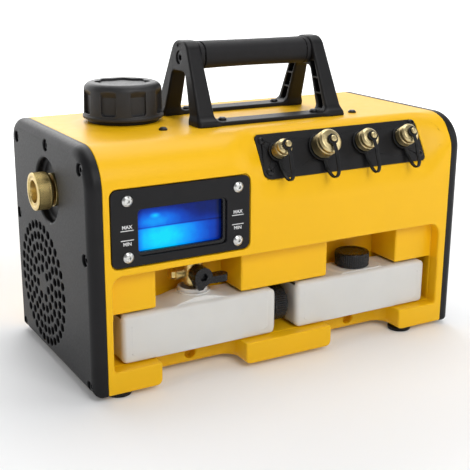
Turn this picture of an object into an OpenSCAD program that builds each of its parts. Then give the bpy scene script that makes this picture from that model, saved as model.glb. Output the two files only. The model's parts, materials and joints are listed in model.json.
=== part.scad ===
// Portable two-stage refrigeration vacuum pump.
// Frame: X runs along the length (exhaust end at -X), Y runs from the front (-Y)
// to the back (+Y), Z is up and the rubber feet stand on Z = 0.
// Inside the modules the body's own coordinates are used: x from the middle of the
// sleeve, y from the front face, z from the underside of the sleeve.

/* [Body] */
// Length of the moulded sleeve between the two end panels
sleeve_len = 380; // [370:1:400]
// Depth of the body, front to back
body_d = 206; // [206:1:210]
// Height of the body without the feet
body_h = 222; // [222:1:226]
// Radius of the top front edge
front_r = 36; // [30:1:38]
// Radius of the top back edge
back_r = 22; // [15:1:24]
// Wall of the sleeve
wall = 4; // [3:0.5:4]
// Thickness of an end panel
panel_t = 13; // [12:1:15]
// Rounding of an end panel's outer edge
panel_r = 9; // [6:1:9]
// Height of the rubber feet
foot_h = 4; // [4:1:8]

/* [Front bays] */
// Depth of the bottle bays
bay_depth = 52; // [50:1:53]
// Depth of the step around the bottles
step_depth = 12; // [10:1:13]
// Height of the bottle shelf
shelf_z = 23; // [20:1:23]
// Height of the bottom of the upper tabs
tab_z = 71.5; // [71.5:0.5:74]
// Height of the bay ceiling
ceiling_z = 110; // [109:1:111]

/* [Ports] */
// Lean of the port face from the vertical, in degrees
port_tilt = 31; // [28:1:33]
// Spacing of the four ports
port_pitch = 49; // [48:1:50]
// Thickness of the port plate
plate_t = 2.2; // [2:0.1:2.4]

/* [Oil system] */
// Radius of the oil cap's flange
cap_r = 37; // [35:1:38]
// Number of grip pockets around the oil cap
cap_pockets = 8; // [6:1:12]
// Outer radius of the filler neck
neck_r = 27; // [25:1:28]
// Length of an oil bottle
bottle_len = 162; // [150:1:163]

/* [Handle] */
// Overall length of the handle
handle_len = 162; // [150:2:166]
// Height of the handle above the body
handle_h = 76; // [70:1:80]
// Thickness of a handle frame
frame_t = 18; // [16:1:20]

/* [Vents] */
// Diameter of one vent hole
vent_d = 8; // [6:0.5:8]
// Radial pitch of the vent rings
vent_pitch = 10.7; // [10.5:0.1:11]

/* [Hidden] */

$fn = 64;
e = 0.5;                      // run-out of a cut past a face
sx = 5.25;                    // puts the middle of the whole box on the origin
sy = -93.5;
hl = sleeve_len / 2;          // 190
xo = hl + panel_t;            // outer face of an end panel
my = body_d / 2;              // middle of the depth
handle_x = 11;                // middle of the handle
cap_x = -119; cap_y = 118;    // oil cap axis
val_x = -91; val_y = 32; val_z = 94;   // drain valve: stem axis runs along Y
ax_y = 129; ax_z = 70;        // motor and pump axis, along X
port_x0 = -11;                // first port
port_s = 24.5;                // height of the port row up the tilted face
plate_y = 2.5; plate_z = 179.5; // foot of the tilted face
ex_y = 104; ex_z = 168;       // exhaust axis, along X
bott_x = [-91, 93];           // middle of each bottle
bott_y = 31;                  // neck axis
thread_r = [5.6, 9.5, 7.9, 7.9];   // flare threads: quarter, half and two three-eighths
pcap_r = [7.6, 12, 10, 10];
pcap_l = [17, 18.7, 15, 15];
panel_screws = [[18.5, 204], [my, 210], [body_d - 18.5, 204], [13, 126], [body_d - 13, 126], [13, 8], [body_d - 13, 8]];
bezel_screw_pts = [[-168, 177], [-60, 177], [-168, 127], [-60, 127]];
plate_screw_pts = [[-23.5, 37.3], [-23, 7], [154, 40], [153, 7]];
foot_pts = [[-175, 14], [146, 14], [-175, 190], [146, 190]];
top_screw_pts = [[-103.5, 63], [109.5, 63], [-40, 66], [64, 66], [-40, 141], [64, 141]];

// ---------- helpers ----------
module place() translate([sx, sy, foot_h]) children();
module bx(x0, x1, y0, y1, z0, z1) translate([x0, y0, z0]) cube([x1 - x0, y1 - y0, z1 - z0]);
// a 2D shape drawn in (y, z) pushed along X from x0 to x1
module along_x(x0, x1) translate([x0, 0, 0]) rotate([90, 0, 90]) linear_extrude(x1 - x0) children();
// a 2D shape drawn in (x, z) pushed along Y from y0 to y1
module along_y(y0, y1) translate([0, y1, 0]) rotate([90, 0, 0]) linear_extrude(y1 - y0) children();
module cx(x0, x1, y, z, r, f = 48) translate([x0, y, z]) rotate([0, 90, 0]) cylinder(r = r, h = x1 - x0, $fn = f);
module cy(x, y0, y1, z, r, f = 48) translate([x, y0, z]) rotate([-90, 0, 0]) cylinder(r = r, h = y1 - y0, $fn = f);
module cz(x, y, z0, z1, r, f = 48) translate([x, y, z0]) cylinder(r = r, h = z1 - z0, $fn = f);
// rounded rectangle; radii in the order low-low, high-low, high-high, low-high
module rr(x0, x1, y0, y1, r) difference() {
  translate([x0, y0]) square([x1 - x0, y1 - y0]);
  corner(x0, y0, 0, r[0]); corner(x1, y0, 90, r[1]); corner(x1, y1, 180, r[2]); corner(x0, y1, 270, r[3]);
}
module corner(x, y, a, r) if (r > 0) translate([x, y]) rotate(a) difference() {
  translate([-1, -1]) square([r + 1, r + 1]);
  translate([r, r]) circle(r = r);
}
// section of the body, drawn inward by i
module section(i = 0) rr(i, body_d - i, i, body_h - i,
  [max(3 - i, 0.2), max(3 - i, 0.2), max(back_r - i, 0.2), max(front_r - i, 0.2)]);
module body_slab(i, x0, x1) along_x(x0, x1) section(i);
// frame of the tilted port face: x along the body, -y out of the face, z up the slope
module port_frame() translate([0, plate_y, plate_z]) rotate([-port_tilt, 0, 0]) children();
module at_port(i) port_frame() translate([port_x0 + i * port_pitch, 0, port_s]) rotate([90, 0, 0]) children();
// a screw with a domed head of radius hr and a shank, head on +Z
module dome_screw(hr, hh, sr, sl) {
  cylinder(r = hr * 0.97, h = hh * 0.45, $fn = 32);
  translate([0, 0, hh * 0.45]) cylinder(r1 = hr * 0.97, r2 = hr * 0.6, h = hh * 0.55, $fn = 32);
  translate([0, 0, -sl]) cylinder(r = sr, h = sl, $fn = 24);
}

// ---------- casing ----------
bays = [[-137, -49], [48.6, 134]];
tabs = [[-hl, -137], [-49, 48.6], [134, hl]];

module port_wedge(x0, x1, o) port_frame() bx(x0, x1, -90, 0.6 + o, -80, 90);

module sleeve_screw_bosses() for (s = [-1, 1]) for (p = panel_screws)
  intersection() {
    union() {
      cx(s > 0 ? hl - 22 : -hl, s > 0 ? hl : -hl + 22, p[0], p[1], 7.5, 32);
      // rib that ties the boss to the nearest wall
      if (p[1] > 200 && p[0] > 50) bx(s > 0 ? hl - 20 : -hl, s > 0 ? hl : -hl + 20, p[0] - 3, p[0] + 3, p[1], body_h);
      if (p[1] > 100 && p[1] < 150) bx(s > 0 ? hl - 20 : -hl, s > 0 ? hl : -hl + 20, p[0] < 100 ? 0 : p[0], p[0] < 100 ? p[0] : body_d, p[1] - 3, p[1] + 3);
    }
    body_slab(0.5, -hl, hl);
  }

module housing() color("#f0b829") place() difference() {
  union() {
    difference() {
      body_slab(0, -hl, hl);
      // main space behind the bays
      intersection() { body_slab(wall, -hl - e, hl + e); bx(-hl - e, hl + e, bay_depth + wall, body_d, 0, body_h); }
      // upper front space behind the window and the port face
      difference() {
        intersection() { body_slab(wall, -hl - e, hl + e); bx(-hl - e, hl + e, 0, bay_depth + wall + 1, ceiling_z + wall, body_h); }
        bx(-188, -43, 0, 7, ceiling_z, 192);
        port_wedge(-34, 164, wall);
        bx(-105, -61, 0, 26, ceiling_z, 128);
      }
      // hollow tabs and foot blocks
      for (t = tabs) {
        bx(t[0] == -hl ? -hl - e : t[0] + wall, t[1] == hl ? hl + e : t[1] - wall, step_depth + wall, bay_depth + wall + 1, tab_z + wall, ceiling_z + wall + 1);
        bx(t[0] == -hl ? -hl - e : t[0] + wall, t[1] == hl ? hl + e : t[1] - wall, wall, bay_depth + wall + 1, wall, shelf_z - wall);
      }
      bx(-hl + 7, hl - 7, 31 + wall, bay_depth + wall + 1, wall, shelf_z - wall);
    }
    sleeve_screw_bosses();
    // raised seat of the oil cap
    translate([cap_x, cap_y, body_h - 1]) cylinder(r1 = 47, r2 = 38, h = 3);
    // corner pillars behind the port plate screws and the handle feet
    for (p = top_screw_pts) cz(p[0], p[1], body_h - 16, body_h - 1, 6, 32);
  }
  // tilted face and the recess of its plate
  difference() { port_wedge(-30.5, 160.5, 0); bx(-40, 170, -120, 300, 0, 165); }
  port_frame() along_y(-1, plate_t) rr(-30, 159.5, -0.4, 44.4, [8, 5, 6, 6]);
  for (i = [0:3]) at_port(i) translate([0, 0, -12]) cylinder(r = [8.5, 11.5, 10.5, 10.5][i], h = 14);
  for (p = plate_screw_pts) port_frame() translate([p[0], 0, p[1]]) rotate([90, 0, 0]) translate([0, 0, -4.2]) cylinder(r = 1.5, h = 5, $fn = 24);
  // window recess and opening
  along_y(-1, 3) rr(-184, -46.5, 117, 188, [7, 7, 7, 7]);
  bx(-161, -68, 2, 8, 123, 171);
  for (p = bezel_screw_pts) cy(p[0], 2, 6.5, p[1], 1.5, 24);
  // step around the bottles, bays, bottle space and finger notches
  along_y(-1, step_depth) rr(-183, 181, shelf_z, ceiling_z + 0.3, [0, 0, 12, 10]);
  bx(-183, 181, -1, bay_depth, shelf_z, tab_z);
  for (b = bays) {
    bx(b[0], b[1], -1, bay_depth, tab_z - 1, ceiling_z);
    translate([0, 0, -1]) linear_extrude(shelf_z + 1.5) rr(b[0], b[1], -12, 31, [0, 0, 12, 3]);
    cy(b[0] + 43.5, 30, 31 + wall + 1, 11, 5.5, 32);
  }
  // room for the drain lever above the left bay, and the drain pipe
  bx(-102, -64, 5, 23.5, ceiling_z - 1, 125.5);
  cz(val_x, val_y, ceiling_z - 1, ceiling_z + wall + 1, 5.5, 32);
  // filler neck
  cz(cap_x, cap_y, body_h - 10, body_h + 5, neck_r + 1.5);
  for (s = [-1, 1]) for (p = panel_screws)
    cx(s > 0 ? hl - 18 : -hl - e, s > 0 ? hl + e : -hl + 18, p[0], p[1], 2.1, 24);
  for (p = top_screw_pts) cz(p[0], p[1], body_h - 14, body_h + 1, 2.1, 24);
  for (p = foot_pts) cz(p[0], p[1], -1, wall + 1, 2.1, 24);
}

vent_n = [7, 14, 20, 27, 33];
module vent_holes(x0, x1) for (k = [0:4]) for (j = [0:vent_n[k] - 1])
  let (a = 90 + (k % 2) * 6 + j * 360 / vent_n[k], r = 4.3 + vent_pitch * (k + 1))
    cx(x0, x1, ax_y + r * cos(a), ax_z + r * sin(a), vent_d / 2, 20);

// block of an end panel with rounded outer edges where the flags say so
module panel_block(y0, y1, z1, front, back, top) intersection() {
  linear_extrude(z1) rr(-panel_t, 0, y0, y1, [front * panel_r, 0, 0, back * panel_r]);
  along_y(y0, y1) rr(-panel_t, 0, 0, z1, [panel_r, 0, 0, top * panel_r]);
}
module panel_disc(y, z, r) translate([0, y, z]) rotate([0, -90, 0]) rotate_extrude($fn = 64) rr(0, r, 0, panel_t, [0, 0, panel_r, 0]);
// shell of an end panel with its inner side at x = 0 and its outer side at -panel_t
module panel_shell() difference() {
  union() {
    panel_block(0, body_d, body_h - front_r, 1, 1, 0);
    panel_block(front_r, body_d - back_r, body_h, 0, 0, 1);
    panel_block(front_r, body_d, body_h - back_r, 0, 1, 0);
    panel_disc(front_r, body_h - front_r, front_r);
    panel_disc(body_d - back_r, body_h - back_r, back_r);
  }
  along_x(-panel_t - 1, 1) { corner(0, 0, 0, 3); corner(body_d, 0, 90, 3); }
  // hollow with the screw wells left standing
  difference() {
    union() {
      body_slab(panel_r + 0.5, -panel_t + 3.5, -panel_t + 7.1);
      body_slab(wall, -panel_t + 7, 1);
    }
    for (p = panel_screws) cx(-panel_t + 2, 1.5, p[0], p[1], 9.5, 32);
  }
  for (p = panel_screws) {
    cx(-panel_t - 1, -panel_t + 6, p[0], p[1], 5.5, 32);
    cx(-panel_t, 1, p[0], p[1], 2.7, 24);
  }
  vent_holes(-panel_t - 1, -panel_t + 4.5);
}

module end_panel_left() color("#2c2c2f") place() translate([-hl, 0, 0]) difference() {
  union() {
    panel_shell();
    cx(-panel_t + 2, 0, ex_y, ex_z, 33.5);
  }
  cx(-panel_t - 1, -panel_t + 8, ex_y, ex_z, 30);
  cx(-panel_t, 1, ex_y, ex_z, 13);
}

module end_panel_right() color("#2c2c2f") place() translate([hl, 0, 0]) mirror([1, 0, 0]) difference() {
  panel_shell();
  // cut-outs of the power inlet and the rocker switch
  bx(-panel_t - 1, 2, 117, 143, 158, 182);
  bx(-panel_t - 1, 2, 62, 84, 156, 184);
}

module end_panel_screws() color("#1f1f21") place() {
  for (p = panel_screws) translate([-xo + 5.95, p[0], p[1]]) rotate([0, -90, 0]) socket_screw(4.25, 4, 2.05, 22);
  for (p = panel_screws) translate([xo - 5.95, p[0], p[1]]) rotate([0, 90, 0]) socket_screw(4.25, 4, 2.05, 22);
}
// socket head screw: head on +Z from 0 to hh
module socket_screw(hr, hh, sr, sl) {
  difference() {
    cylinder(r = hr, h = hh, $fn = 32);
    translate([0, 0, hh * 0.45]) cylinder(r = hr * 0.55, h = hh, $fn = 6);
  }
  translate([0, 0, -sl]) cylinder(r = sr, h = sl + 0.1, $fn = 24);
}

module chassis_plate() color("#9a9da1") place() difference() {
  bx(-186, 186, 60, 184, wall, wall + 3);
  for (x = [-150, -60, 30, 110]) for (y = [95, 163]) cz(x, y, wall - 1, wall + 4, 3, 24);
}

module rubber_feet() color("#141415") translate([sx, sy, 0]) for (p = foot_pts) translate([p[0], p[1], 0]) difference() {
  rotate_extrude($fn = 48) polygon([[0, 0], [11, 0], [12, 1], [12, foot_h], [0, foot_h]]);
  translate([0, 0, -1]) cylinder(r = 5, h = 3, $fn = 32);
  cylinder(r = 2.2, h = foot_h + 1, $fn = 24);
}
module foot_screws() color("#8d9094") translate([sx, sy, 0]) for (p = foot_pts) translate([p[0], p[1], 2]) {
  rotate([180, 0, 0]) cylinder(r1 = 4.4, r2 = 3.4, h = 1.3, $fn = 32);
  cylinder(r = 2, h = foot_h + wall - 2.5, $fn = 24);
}

// ---------- handle ----------
// outline of one A-shaped frame in (y, z) with z = 0 on the body's top
module a_outline() difference() {
  union() {
    polygon([[54, 0], [my - 13, handle_h - 7], [my - 8, handle_h], [my + 8, handle_h], [my + 13, handle_h - 7], [body_d - 54, 0]]);
    translate([my - 7.2, handle_h - 7.5]) circle(r = 7.5);
    translate([my + 7.2, handle_h - 7.5]) circle(r = 7.5);
  }
  polygon([[75, -1], [75, 0], [90.5, 47], [my + (my - 90.5), 47], [body_d - 75, 0], [body_d - 75, -1]]);
}
// frame with its outer side at x = 0, hollow from the inner side
module a_frame() {
  difference() {
    along_x(0, frame_t) a_outline();
    // the outer side leans inward
    rotate([0, 3, 0]) bx(-20, 0, 0, body_d, -20, 120);
    // hollow of each leg, open to the inside, with cross ribs left standing
    for (m = [0, 1]) translate([0, m * my, 0]) mirror([0, m, 0]) translate([0, -m * my, 0])
      difference() {
        along_x(6.5, frame_t + 1) polygon([[62, 6], [72, 6], [87.5, 50], [83.5, 50]]);
        for (z = [20, 36]) bx(0, frame_t + 2, 50, 100, z, z + 2);
      }
    cx(-1, frame_t + 1, my, 60, 4.2, 32);
    cx(-1, 9.5, my, 60, 6.2, 32);
  }
}
module handle_frame() color("#2f2f31") place() translate([handle_x, 0, body_h]) difference() {
  union() {
    translate([-handle_len / 2, 0, 0]) a_frame();
    mirror([1, 0, 0]) translate([-handle_len / 2, 0, 0]) a_frame();
    for (y = [54, body_d - 75]) bx(-handle_len / 2 + 2, handle_len / 2 - 2, y, y + 21, 0, 4);
    // gussets where the rails meet the frames
    for (s = [-1, 1]) for (y = [54, body_d - 75]) gusset(s, y);
  }
  for (p = top_screw_pts) if (abs(p[0] - handle_x) < 70) cz(p[0] - handle_x, p[1], -1, 12, 2.4, 24);
}
module gusset(s, y) difference() {
  bx(s > 0 ? handle_len / 2 - frame_t - 10 : -handle_len / 2 + frame_t - 1, s > 0 ? handle_len / 2 - frame_t + 1 : -handle_len / 2 + frame_t + 10, y, y + 4, 0, 14);
  cy(s * (handle_len / 2 - frame_t - 10), y - 1, y + 5, 14, 10, 32);
}
module handle_grip() color("#262628") place() difference() {
  hull() for (k = [-2:2]) translate([handle_x + k * (handle_len / 2 - frame_t - 0.5) / 2, my, 0]) {
    cx(-0.5, 0.5, -5, body_h + 62.5 + 0.4 - 0.1 * k * k, 11.8, 32);
    cx(-0.5, 0.5, 5, body_h + 62.5 + 0.4 - 0.1 * k * k, 11.8, 32);
    cx(-0.5, 0.5, 0, body_h + 60.5 - 0.3 * k * k, 11.6, 32);
  }
  cx(-100, 130, my, body_h + 60, 8, 32);
}
module handle_core() color("#a8abaf") place() difference() {
  cx(handle_x - handle_len / 2 + frame_t, handle_x + handle_len / 2 - frame_t, my, body_h + 60, 8, 32);
  cx(-100, 130, my, body_h + 60, 4, 32);
}
module handle_bolts() color("#1d1d1f") place() for (s = [-1, 1])
  translate([handle_x + s * (handle_len / 2 - 9.5), my, body_h + 60]) rotate([0, s * 90, 0]) socket_screw(6, 5, 3.9, 24);

module top_screws() color("#18181a") place() {
  for (p = [top_screw_pts[0], top_screw_pts[1]]) translate([p[0], p[1], body_h]) dome_screw(4.2, 2.6, 2, 13);
  for (k = [2:5]) translate([top_screw_pts[k][0], top_screw_pts[k][1], body_h + 4]) dome_screw(4.2, 2.6, 2, 17);
}

// ---------- oil system ----------
module oil_tank() color("#b9bcc0") place() difference() {
  union() {
    bx(-166, -64, 11, 150, 130, 206);
    bx(-106, -76, 27, 44, 118, 131);
  }
  bx(-161, -69, 16, 145, 136, 201);
  bx(-158, -71, 10, 17, 134, 167);
  cz(cap_x, cap_y, 200, 207, 20);
  cz(val_x, val_y, 117, 137, 5);
  cx(-167, -160, ex_y, ex_z, 8);
  cx(-70, -63, 138, 150, 6, 32);
}
module filler_neck() color("#c9a24a") place() difference() {
  union() {
    cz(cap_x, cap_y, 206, 250, neck_r - 1);
    for (z = [231, 236, 241, 246]) cz(cap_x, cap_y, z, z + 2, neck_r);
    cz(cap_x, cap_y, 206, 211, 34);
    cz(cap_x, cap_y, 200, 206.1, 20);
  }
  cz(cap_x, cap_y, 199, 251, 17.5);
}
module oil_cap() color("#333335") place() translate([cap_x, cap_y, 0]) difference() {
  union() {
    cylinder_z(227.8, 231, cap_r);
    cylinder_z(231, 254, cap_r - 1);
    rotate_extrude($fn = 64) translate([0, 254]) {
      square([cap_r - 8, 7]);
      intersection() { translate([cap_r - 8, 0]) circle(r = 7, $fn = 48); square([60, 7]); }
    }
  }
  for (k = [0:cap_pockets - 1]) rotate(k * 360 / cap_pockets)
    translate([cap_r - 1 + 5.2, 0, 232.5]) linear_extrude(25) rr(-8, 8, -7.8, 7.8, [2, 2, 2, 2]);
  cylinder_z(258.8, 262, 22);
  cylinder_z(227, 252.5, neck_r + 0.35);
}
module cylinder_z(z0, z1, r) translate([0, 0, z0]) cylinder(r = r, h = z1 - z0);
module cap_gasket() color("#151516") place() difference() {
  cz(cap_x, cap_y, body_h + 2.3, 227.5, 34);
  cz(cap_x, cap_y, body_h + 1, 229, neck_r + 0.35);
}
module sight_glass() color("#2a6fd6") place() bx(-163, -66, 7.1, 11, 128, 170);
module window_bezel() color("#222224") place() difference() {
  along_y(0.4, 3) rr(-183, -47.5, 118, 187, [6, 6, 6, 6]);
  along_y(-1, 4) rr(-158, -71, 126, 168, [4, 4, 4, 4]);
  for (p = bezel_screw_pts) cy(p[0], -1, 4, p[1], 2.2, 24);
}
module bezel_screws() color("#c9cbce") place() for (p = bezel_screw_pts) translate([p[0], 0.4, p[1]]) rotate([90, 0, 0]) difference() {
  dome_screw(5, 2.4, 1.45, 5.5);
  translate([0, 0, 0.9]) cylinder(r = 2.1, h = 4, $fn = 6);
}
module led_board() color("#1e6a3a") place() { bx(-160.9, -159.3, 22, 62, 142, 186); for (z = [150, 164, 178]) bx(-159.3, -157.8, 38, 43, z, z + 5); }

module drain_pipe() color("#c4983a") place() difference() {
  cz(val_x, val_y, 106, 134, 5);
  cz(val_x, val_y, 105, 135, 3);
}
module valve_body() color("#c4983a") place() difference() {
  union() {
    cz(val_x, val_y, 84.5, 104, 10.5);
    translate([val_x, val_y, 103]) rotate(30) cylinder(r = 10, h = 6, $fn = 6);
    cz(val_x, val_y, 81, 86, 7.5);
    cy(val_x, 21.2, 32, val_z, 8);
    cx(-110, -95, val_y, val_z, 6.5);
    translate([-114, val_y, val_z]) rotate([0, 90, 0]) cylinder(r = 5.5, h = 5, $fn = 6);
  }
  translate([val_x, val_y, val_z]) sphere(r = 7.05, $fn = 48);
  cz(val_x, val_y, 80, 107, 3);
  cz(val_x, val_y, 106, 110, 5);
  cy(val_x, 20, 32, val_z, 3.55, 32);
}
module valve_ball() color("#b5b8bc") place() difference() {
  translate([val_x, val_y, val_z]) rotate([90, 0, 0]) rotate_extrude($fn = 48) union() {
    intersection() { circle(r = 7, $fn = 48); translate([0, -8]) square([8, 16]); }
    square([3.5, 20]);
  }
  cx(val_x - 9, val_x + 9, val_y, val_z, 3, 32);
}
module valve_lever() color("#1c1c1e") place() difference() {
  union() {
    cy(val_x, 7.5, 20.8, val_z, 9);
    // arm with a round end
    translate([0, 0, 86.5]) linear_extrude(6.5) rr(val_x + 3, -63.5, 8.5, 20.5, [0, 5.5, 5.5, 0]);
    // pointer
    along_y(8.5, 19.5) polygon([[val_x - 8.4, val_z - 3], [val_x - 4.5, val_z - 12.5], [val_x - 0.5, val_z - 12.5], [val_x + 5, val_z - 7]]);
  }
  cy(val_x, 12, 22, val_z, 3.5, 32);
  cy(val_x, 7, 11, val_z, 4.2, 6);
}

// outer or inner form of a bottle lying along X; i draws it inward
module bottle_form(c, i) intersection() {
  along_y(8.5 + i, 48 - i) rr(c - bottle_len / 2 + i, c + bottle_len / 2 - i, shelf_z + 0.3 + i, 70.2 - i, [7, 10, 10, 7]);
  translate([0, 0, shelf_z]) linear_extrude(50) rr(c - bottle_len / 2 + i, c + bottle_len / 2 - i, 8.5 + i, 48 - i, [8, 10, 10, 8]);
}
module bottle(c, neck_top, boss) difference() {
  union() {
    bottle_form(c, 0);
    cz(c, bott_y, 69, neck_top, 14);
    cz(c, bott_y, 70, 71.2, 16.5);
    // boss that holds the loose cap
    if (boss) cx(c + bottle_len / 2 - 1, c + bottle_len / 2 + 9, 30, 47, 13.6);
  }
  bottle_form(c, 1.6);
  cz(c, bott_y, 60, neck_top + 1, 12.2);
}
module bottle_left() color("#dcd6c8") place() bottle(bott_x[0], 80, true);
module bottle_right() color("#dcd6c8") place() bottle(bott_x[1], 83, false);
// bottle cap, open towards -Z, 14 tall
module bottle_cap() difference() {
  union() { cylinder(r = 17.6, h = 12.5); translate([0, 0, 12.5]) cylinder(r1 = 17.6, r2 = 16.4, h = 1.5); }
  translate([0, 0, -1]) cylinder(r = 14.3, h = 12.6);
  for (k = [0:35]) rotate(k * 10) translate([17.9, 0, 1]) cylinder(r = 0.55, h = 20, $fn = 8);
}
module bottle_cap_left() color("#161618") place() translate([bott_x[0] + bottle_len / 2 + 0.6, 30, 47]) rotate([0, 90, 0]) bottle_cap();
module bottle_cap_right() color("#161618") place() translate([bott_x[1], bott_y, 71.6]) bottle_cap();

// ---------- ports ----------
module port_plate() color("#29292b") place() difference() {
  port_frame() along_y(0, plate_t) rr(-29.5, 159, 0, 44, [8, 4, 6, 5]);
  for (i = [0:3]) at_port(i) translate([0, 0, -5]) cylinder(r = thread_r[i] + 0.6, h = 7);
  for (p = plate_screw_pts) port_frame() translate([p[0], 0, p[1]]) rotate([90, 0, 0]) translate([0, 0, -4]) cylinder(r = 1.7, h = 5, $fn = 24);
}
module port_plate_screws() color("#111113") place() for (p = plate_screw_pts) port_frame() translate([p[0], 0, p[1]]) rotate([90, 0, 0]) difference() {
  dome_screw(3.6, 2.2, 1.45, 4);
  translate([0, 0, 0.9]) cylinder(r = 1.5, h = 4, $fn = 6);
}
module manifold() color("#b3b6ba") place() difference() {
  port_frame() bx(-26, 151, 5.2, 31, 11.5, 37.5);
  port_frame() cx(-20, 145, 22, port_s, 4.5, 32);
  for (i = [0:3]) at_port(i) translate([0, 0, -20]) cylinder(r = thread_r[i] - 1, h = 16);
  cy(60, 38, 60, 190, 6, 32);
  cy(60, 33, 40, 190, 4.5, 32);
}
module port_fitting(i) difference() {
  union() {
    translate([0, 0, -16]) cylinder(r = thread_r[i] - 1, h = 16.1);
    cylinder(r = thread_r[i] + 2, h = 1.2, $fn = 48);
    cylinder(r = thread_r[i] - 0.7, h = pcap_l[i] - 4);
    for (z = [5:2:pcap_l[i] - 5]) translate([0, 0, z]) cylinder(r = thread_r[i], h = 1.2);
    translate([0, 0, pcap_l[i] - 4]) cylinder(r1 = thread_r[i] - 1, r2 = thread_r[i] * 0.62, h = 2.4);
  }
  translate([0, 0, -17]) cylinder(r = thread_r[i] * 0.45, h = 60, $fn = 32);
}
module port_fittings() color("#c8a85c") place() for (i = [0:3]) at_port(i) port_fitting(i);
module port_cap(i) difference() {
  union() {
    translate([0, 0, 3.6]) cylinder(r = pcap_r[i] - 0.4, h = 1.2);
    translate([0, 0, 4.6]) cylinder(r = pcap_r[i], h = pcap_l[i] - 2.6);
    translate([0, 0, pcap_l[i] + 2]) cylinder(r1 = pcap_r[i], r2 = pcap_r[i] - 1.4, h = 1.4);
    translate([0, 0, pcap_l[i] + 3]) cylinder(r = 2.2, h = 4.4, $fn = 32);
    translate([0, 0, pcap_l[i] + 6.4]) cylinder(r1 = 3.2, r2 = 2.2, h = 2, $fn = 32);
  }
  translate([0, 0, 3]) cylinder(r = thread_r[i] + 0.35, h = pcap_l[i] - 3.2);
}
module port_cap_1() color("#cdb27a") place() at_port(0) port_cap(0);
module port_cap_2() color("#cdb27a") place() at_port(1) port_cap(1);
module port_cap_3() color("#cdb27a") place() at_port(2) port_cap(2);
module port_cap_4() color("#cdb27a") place() at_port(3) port_cap(3);
// rubber strap: a ring round the fitting, a loop hanging in front of the plate and an eye on the cap's post
module port_tether(i) {
  R = pcap_r[i] + 1.6;
  k = pcap_l[i] + 4.5;
  difference() {
    union() {
      translate([0, 0, 1.5]) cylinder(r = R, h = 1.7);
      // leg down from the ring
      translate([-2, -R - 8, 1.5]) cube([4, 12, 1.7]);
    }
    translate([0, 0, 1]) cylinder(r = thread_r[i] + 0.3, h = 3);
  }
  translate([0, -R - 8, 0]) rotate([90, 0, 90]) translate([0, 0, -2]) linear_extrude(4) difference() {
    translate([0, (k + 2.35) / 2]) circle(r = (k + 2.35) / 2 - 0.6 - 0.1);
    translate([0, (k + 2.35) / 2]) circle(r = (k + 2.35) / 2 - 2.4);
    translate([0, -1]) square([60, 60]);
  }
  // leg back up to the post
  translate([-2, -R - 8, k - 0.1]) cube([4, R + 8 - 3, 1.7]);
  difference() {
    translate([0, 0, k - 0.1]) cylinder(r = 5.2, h = 1.7, $fn = 32);
    translate([0, 0, k - 1]) cylinder(r = 2.5, h = 4, $fn = 32);
  }
}
module port_tether_1() color("#121213") place() at_port(0) port_tether(0);
module port_tether_2() color("#121213") place() at_port(1) port_tether(1);
module port_tether_3() color("#121213") place() at_port(2) port_tether(2);
module port_tether_4() color("#121213") place() at_port(3) port_tether(3);

module gas_tubes() color("#b87333") place() {
  // intake, from the manifold down to the first stage
  difference() {
    union() { cy(60, 38, 118, 190, 6, 32); cz(60, 118, 108, 190, 6, 32); translate([60, 118, 190]) sphere(r = 6, $fn = 32); }
    cy(60, 37, 118, 190, 4.5, 32); cz(60, 118, 107, 190, 4.5, 32);
  }
  // discharge, from the second stage to the oil tank
  difference() {
    union() { cx(-69, 104, 138, 150, 6, 32); cz(104, 138, 108, 150, 6, 32); translate([104, 138, 150]) sphere(r = 6, $fn = 32); }
    cx(-70, 104, 138, 150, 4.5, 32); cz(104, 138, 107, 150, 4.5, 32);
  }
}

// ---------- pump and motor ----------
module pump_body() color("#8f9296") place() difference() {
  union() {
    cx(24, 116, ax_y, ax_z, 46);
    bx(24, 116, 100, 158, 7, 40);
    bx(24, 116, ax_y - 22, ax_y + 22, 100, 117);
  }
  cx(23, 84, ax_y, ax_z + 3.7, 30);
  cx(92, 117, ax_y, ax_z + 3.7, 30);
  cx(80, 96, ax_y, ax_z, 8.06, 32);
  cz(60, 118, 108, 118, 6, 32); cz(60, 118, 90, 109, 4.5, 32);
  cz(104, 138, 108, 118, 6, 32); cz(104, 138, 90, 109, 4.5, 32);
}
module pump_covers() color("#a3a6aa") place() {
  difference() { cx(14, 24, ax_y, ax_z, 46); cx(13, 25, ax_y, ax_z, 8.06, 32); }
  difference() { cx(116, 126, ax_y, ax_z, 46); cx(115, 124, ax_y, ax_z, 8.06, 32); }
}
module rotor(x0, x1) difference() {
  cx(x0, x1, ax_y, ax_z, 26);
  cx(x0 - 1, x1 + 1, ax_y, ax_z, 8, 32);
  for (s = [-1, 1]) bx(x0 - 1, x1 + 1, ax_y - 2.1, ax_y + 2.1, s > 0 ? ax_z + 11 : ax_z - 30, s > 0 ? ax_z + 30 : ax_z - 11);
}
module rotor_first_stage() color("#7c7f83") place() rotor(24.2, 83.8);
module rotor_second_stage() color("#7c7f83") place() rotor(92.2, 115.8);
module rotor_vanes() color("#4a3a2a") place() for (x = [[24.3, 83.7], [92.3, 115.7]]) for (s = [-1, 1])
  bx(x[0], x[1], ax_y - 2, ax_y + 2, s > 0 ? ax_z + 12 : ax_z - 25.6, s > 0 ? ax_z + 25.6 : ax_z - 12);
module motor_shaft() color("#c0c2c5") place() cx(-190, -16, ax_y, ax_z, 8, 32);
module pump_shaft() color("#c0c2c5") place() cx(-14, 122, ax_y, ax_z, 8, 32);
module shaft_coupling() color("#33373c") place() difference() {
  union() { cx(-29, -16, ax_y, ax_z, 17); cx(-14, -1, ax_y, ax_z, 17); cx(-17, -13, ax_y, ax_z, 15.5); }
  cx(-30, 0, ax_y, ax_z, 8, 32);
}
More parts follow.
